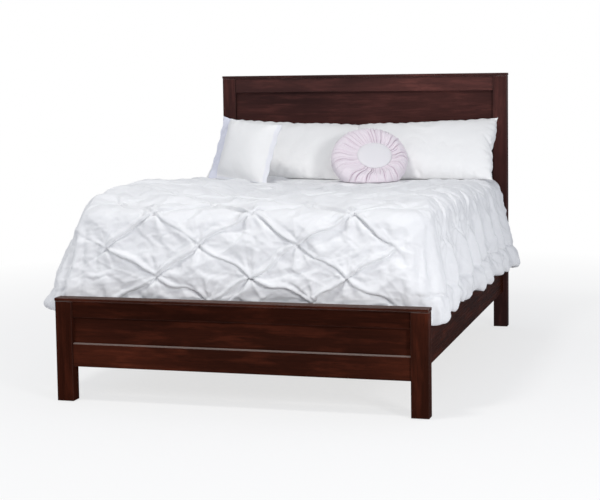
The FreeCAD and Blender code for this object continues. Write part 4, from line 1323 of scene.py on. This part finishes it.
class BED_OT_frame(Operator):
    """Finish of the posts, rails, panels, slats and steel"""
    bl_idname = "bed.frame"
    bl_label = "Frame"

    def execute(self, context):
        wood = context.scene.bed.wood
        foot, head = (wood.dark, wood.warm), (wood.head_dark_sheen, wood.head_warm_sheen)
        # Deep is the foot stain darkened as painted shade on the foot's top rail under the cap, its left
        # post and the side rails; pale is the head stain lightened further as a painted sheen on the head's
        # top rail
        deep, pale = self.toned(foot, 0.7), self.toned(head, 1.4)
        # Columns: nodes, material name, grain axis, stain, under and ledge; under and ledge set the painted
        # highlight on arrises that face down and on faces that look up, such as the line under each cap and
        # the ledge of the foot's bottom rail
        for nodes, name, axis, stain, under, ledge in (
                (FOOT_ALONG_X, "Foot wood", "X", foot, 0.15, 0.55),
                (("foot_post_right",), "Foot wood", "Z", foot, 0.15, 0.0),
                (("foot_top_rail",), "Shade painted wood", "X", deep, 0.15, 0.55),
                (("foot_post_left",), "Shade painted wood", "Z", deep, 0.15, 0.0),
                (SIDE_ALONG_Y, "Rail wood", "Y", deep, 0.15, 0.2),
                (HEAD_ALONG_X, "Head wood", "X", head, 0.15, 0.0),
                (HEAD_ALONG_Z, "Head wood", "Z", head, 0.15, 0.0),
                (("head_top_rail",), "Sheen painted wood", "X", pale, 0.15, 0.0),
                (("foot_cap",), "Foot cap", "X", foot, 0.85, 0.16),
                (("head_cap",), "Head cap", "X", head, 0.35, 0.14)):
            finish_nodes(nodes, stained_wood(name, axis, stain, under, ledge))
        for nodes, axis in ((PINE_ALONG_X, "X"), (PINE_ALONG_Y, "Y"), (PINE_ALONG_Z, "Z")):
            finish_nodes(nodes, softwood(axis))
        finish_nodes(STEEL, steel_material())
        finish_nodes(("post_glides",), nylon_material())
        return {"FINISHED"}

    def toned(self, stain, share):
        """The same stain scaled darker as painted shade or paler as a painted sheen."""
        return [tuple(share * part for part in tint) for tint in stain]


class BED_OT_screws(Operator):
    """Heads of the screws that hold the cleats to the side rails"""
    bl_idname = "bed.screws"
    bl_label = "Screws"

    def execute(self, context):
        bm = bmesh.new()
        count, radius, proud = 9, 0.0042, 0.0014
        for node, side in (("rail_cleat_left", -1), ("rail_cleat_right", 1)):
            low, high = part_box(node)
            face = low.x if side > 0 else high.x
            for k in range(count):
                y = mix(low.y + 0.06, high.y - 0.06, k / (count - 1))
                place = (face - side * (proud / 2 - 0.0001), y, (low.z + high.z) / 2)
                place = Matrix.Translation(place) @ Matrix.Rotation(-side * math.pi / 2, 4, "Y")
                head = bmesh.ops.create_cone(bm, cap_ends=True, segments=12, radius1=radius,
                                             radius2=radius * 0.72, depth=proud, matrix=place)["verts"]
                caps = {f for v in head for f in v.link_faces if len(f.verts) == 12}
                outer = min(caps, key=lambda f: abs(f.calc_center_median().x))
                bmesh.ops.inset_individual(bm, faces=[outer], thickness=radius * 0.3, depth=-0.0007)
        bmesh.ops.recalc_face_normals(bm, faces=bm.faces)
        piece = make_piece(bm, "cleat_screws", steel_material(), smooth=False)
        hand_over(piece, "root", "steel_hardware")
        return {"FINISHED"}


class BED_OT_comforter(Operator):
    """Pinch pleated comforter that falls over the sides and the foot end"""
    bl_idname = "bed.comforter"
    bl_label = "Comforter"

    def execute(self, context):
        looks = context.scene.bed
        piece = comforter_piece(looks.comforter, cloth_material("Comforter cotton", looks.cloth.comforter))
        hand_over(piece, "root", "comforter_fabric", "comforter", fill=0.35)
        return {"FINISHED"}


class BED_OT_bedding(Operator):
    """Foundation and mattress that the comforter covers"""
    bl_idname = "bed.bedding"
    bl_label = "Foundation and mattress"

    def execute(self, context):
        self.covered("foundation_cover", "foundation_cloth", "foundation_fabric",
                     cloth_material("Foundation cloth", FOUNDATION_TINT), 0.04, 0.06, plain_cloth,
                     [(0.012, 0.008), (0.005, 0.009), (0.0, 0.016), (0.0, 0.06)])
        self.covered("mattress_cover", "mattress_ticking", "mattress_fabric",
                     cloth_material("Knitted ticking", context.scene.bed.cloth.ticking), 0.07, 0.024,
                     mattress_quilt, [(0.022, 0.008), (0.01, 0.009), (0.002, 0.014), (0.0, 0.02),
                                      (0.002, 0.026), (0.006, 0.032), (0.003, 0.06), (0.001, 0.11)])
        for node in ("mattress_base_foam", "mattress_top_foam"):
            piece = make_piece(foam_block(node), node + "_block", foam_material(), smooth=False)
            hand_over(piece, "root", "foam", node, fill=1.0)
        self.springs()
        return {"FINISHED"}

    def covered(self, node, name, slot, material, corner, cell, quilt, profile):
        bm = upholstered_block(*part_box(node), corner, cell, quilt, profile)
        hand_over(make_piece(bm, name, material), "root", slot, node, fill=1.0)

    def springs(self):
        """Rows of pocketed coils, each wider at its middle."""
        low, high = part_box("mattress_spring_unit")
        size = high - low
        counts = [round(size[i] / COIL_PITCH) for i in (0, 1)]
        pitch = [size[i] / counts[i] for i in (0, 1)]
        bm = bmesh.new()
        bmesh.ops.create_cone(bm, cap_ends=True, segments=8, radius1=1, radius2=1, depth=1)
        walls = [e for e in bm.edges if abs(e.verts[0].co.z - e.verts[1].co.z) > 0.5]
        bmesh.ops.subdivide_edges(bm, edges=walls, cuts=3)
        for vert in bm.verts:
            barrel = min(pitch) * (0.4 + 0.09 * (1 - (vert.co.z * 2) ** 2))
            vert.co = Vector((vert.co.x * barrel, vert.co.y * barrel, vert.co.z * (size.z - 0.004)))
        first = (low.x + pitch[0] / 2, low.y + pitch[1] / 2, (low.z + high.z) / 2)
        bmesh.ops.translate(bm, verts=bm.verts, vec=first)
        piece = make_piece(bm, "spring_pockets", cloth_material("Spunbond pocket", POCKET_TINT))
        for i in (0, 1):
            rows = piece.modifiers.new("Rows", "ARRAY")
            rows.count = counts[i]
            rows.use_relative_offset = False
            rows.use_constant_offset = True
            rows.constant_offset_displace = (pitch[0], 0, 0) if i == 0 else (0, pitch[1], 0)
        hand_over(piece, "root", "spring_unit", "mattress_spring_unit", fill=1.0)


class BED_OT_pillows(Operator):
    """Two back pillows and the square one in front of them"""
    bl_idname = "bed.pillows"
    bl_label = "Pillows"

    # Place, lean and tilt of the right back pillow, which the left one mirrors
    BACK_PLACE = (0.394, 0.8603, 0.985)
    BACK_LEAN = 50
    BACK_TILT = -3.2
    # Place, lean, turn and tilt of the square one
    LUMBAR_STAND = ((-0.522, 0.5226, 1.0), 16, -28, 5)

    def execute(self, context):
        looks = context.scene.bed
        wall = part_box("head_middle_rail")[0].y - 0.011
        cotton = cloth_material("Pillow cotton", looks.cloth.pillow, 0.7)
        x, y, z = self.BACK_PLACE
        for node, side, seed in (("back_pillow_left", -1, 3.0), ("back_pillow_right", 1, 11.0)):
            ears = (0.016, 0.0) if side < 0 else (0.0, 0.016)
            shape = sham_shape(BACK_SIZE, seed, 0.017, 0.007, ears, 0.055, NO_FLANGES)
            place = stand((side * x, y, z), self.BACK_LEAN, 0, self.BACK_TILT * side)
            self.pillow(looks.pillow.cell, node, "pillow_fabric", cotton, BACK_SIZE, seed, NO_FLANGES,
                        place, shape, wall)
        flanges = (looks.pillow.flange_left, looks.pillow.flange, looks.pillow.flange)
        shape = sham_shape(LUMBAR_SIZE, 21.0, 0.006, 0.0015, (0.004, 0.004), 0.0, flanges)
        # The border attribute paints lavender grey shade on the borders
        bordered = tint_where(cloth_material("Bordered cotton", looks.cloth.pillow, 0.4), "border",
                              looks.cloth.border, 1.0)
        self.pillow(looks.pillow.cell, "lumbar_pillow", "lumbar_fabric", bordered, LUMBAR_SIZE, 21.0,
                    flanges, stand(*self.LUMBAR_STAND), shape)
        return {"FINISHED"}

    def pillow(self, cell, node, slot, material, size, seed, flanges, place, shape, wall=None):
        """Sews, fills, shapes and places one pillow. Only the bordered one has no wall behind it."""
        bm, flat = pillow_mesh(size, cell, seed, size[2] * 0.02, flanges)
        piece = make_piece(bm, node + "_cloth", material)
        held = {}
        if flat:
            hold(piece, "flange", flat)
            held = {"vertex_group_mass": "flange", "pin_stiffness": 1.0}
        growth = 0.012 if flat else 0.03
        settle(piece, 2.0, 12, quality=6, mass=0.2, tension_stiffness=12, compression_stiffness=8,
               shear_stiffness=4, bending_stiffness=0.05, shrink_min=-growth, **held)
        if flat:
            relax(piece.data, 3)
        place_soft(piece.data, size, place, bed_top(), wall, shape)
        soft_creases(piece.data, seed, 0.005 if wall else 0.0014, 7.0, bed_top())
        smooth = piece.modifiers.new("Smooth", "SUBSURF")
        smooth.levels = smooth.render_levels = 1
        hand_over(piece, node, slot, node, fill=0.7)


class BED_OT_cushion(Operator):
    """Round cushion gathered to a smooth disc on each side"""
    bl_idname = "bed.cushion"
    bl_label = "Round cushion"

    # Place, lean and turn
    STAND = ((0.157, 0.6, 0.958), 46, 18)
    # How far to the right and up the middle of the front lies off the cushion's own middle
    SHIFT = (0.025, -0.015)

    def execute(self, context):
        looks = context.scene.bed
        place = stand(*self.STAND)
        self.ring(looks, place)
        self.discs(looks, place)
        return {"FINISHED"}

    def ring(self, looks, place):
        radius, thickness, hub = looks.cushion.radius, looks.cushion.thickness, looks.cushion.hub * 0.97
        bm = spin_profile(cushion_profile(radius, thickness, hub), 640)
        gathers(bm, looks.cushion.gathers, hub, radius, 5, self.SHIFT)
        # The gather attribute paints pink shade into the creases
        material = tint_where(satin("Cushion satin", looks.cloth.cushion), "gather", looks.cloth.gather,
                              0.75)
        piece = make_piece(bm, "round_cushion_cloth", material)
        place_soft(piece.data, (2 * radius, thickness, 2 * radius), place, bed_top())
        hand_over(piece, "round_cushion", "cushion_fabric", "round_cushion", fill=0.85)

    def discs(self, looks, place):
        hub, face = looks.cushion.hub, looks.cushion.thickness * 0.37
        profile = [(hub * share, -face + depth) for share, depth in
                   ((0.0, -0.013), (0.5, -0.0125), (0.82, -0.0105), (0.95, -0.007), (1.0, -0.003),
                    (0.97, 0.001), (0.8, 0.003), (0.0, 0.004))]
        bm = spin_profile(profile, 72)
        for vert in bm.verts:
            vert.co.y += 0.0012 * noise.noise(vert.co * 28)
        bmesh.ops.translate(bm, verts=bm.verts, vec=(self.SHIFT[0], 0, self.SHIFT[1]))
        copy = bmesh.ops.duplicate(bm, geom=list(bm.verts) + list(bm.edges) + list(bm.faces))
        bmesh.ops.rotate(bm, verts=[g for g in copy["geom"] if isinstance(g, bmesh.types.BMVert)],
                         cent=(0, 0, 0), matrix=Matrix.Rotation(math.pi, 3, "Z"))
        bmesh.ops.transform(bm, matrix=place, verts=bm.verts)
        piece = make_piece(bm, "cushion_disc_cloth", satin("Disc satin", looks.cloth.disc))
        hand_over(piece, "round_cushion", "cushion_disc_fabric", "cushion_discs", fill=0.9)


class BED_PT_panel(Panel):
    bl_label = "Bed"
    bl_idname = "BED_PT_panel"
    bl_space_type = "VIEW_3D"
    bl_region_type = "UI"
    bl_category = "Bed"

    def draw(self, context):
        for step in STEPS:
            self.layout.operator(step.bl_idname)


STEPS = (BED_OT_stage, BED_OT_frame, BED_OT_screws, BED_OT_bedding, BED_OT_comforter, BED_OT_pillows,
         BED_OT_cushion)
GROUPS = (BedWood, BedCloth, BedComforter, BedPillow, BedCushion, BedStage, BedSettings)
CLASSES = GROUPS + STEPS + (BED_PT_panel,)


def register():
    for cls in CLASSES:
        bpy.utils.register_class(cls)
    bpy.types.Scene.bed = PointerProperty(type=BedSettings)


def unregister():
    del bpy.types.Scene.bed
    for cls in reversed(CLASSES):
        bpy.utils.unregister_class(cls)


def main():
    register()
    for step in STEPS:
        group, name = step.bl_idname.split(".")
        getattr(getattr(bpy.ops, group), name)()


if __name__ == "__main__":
    main()
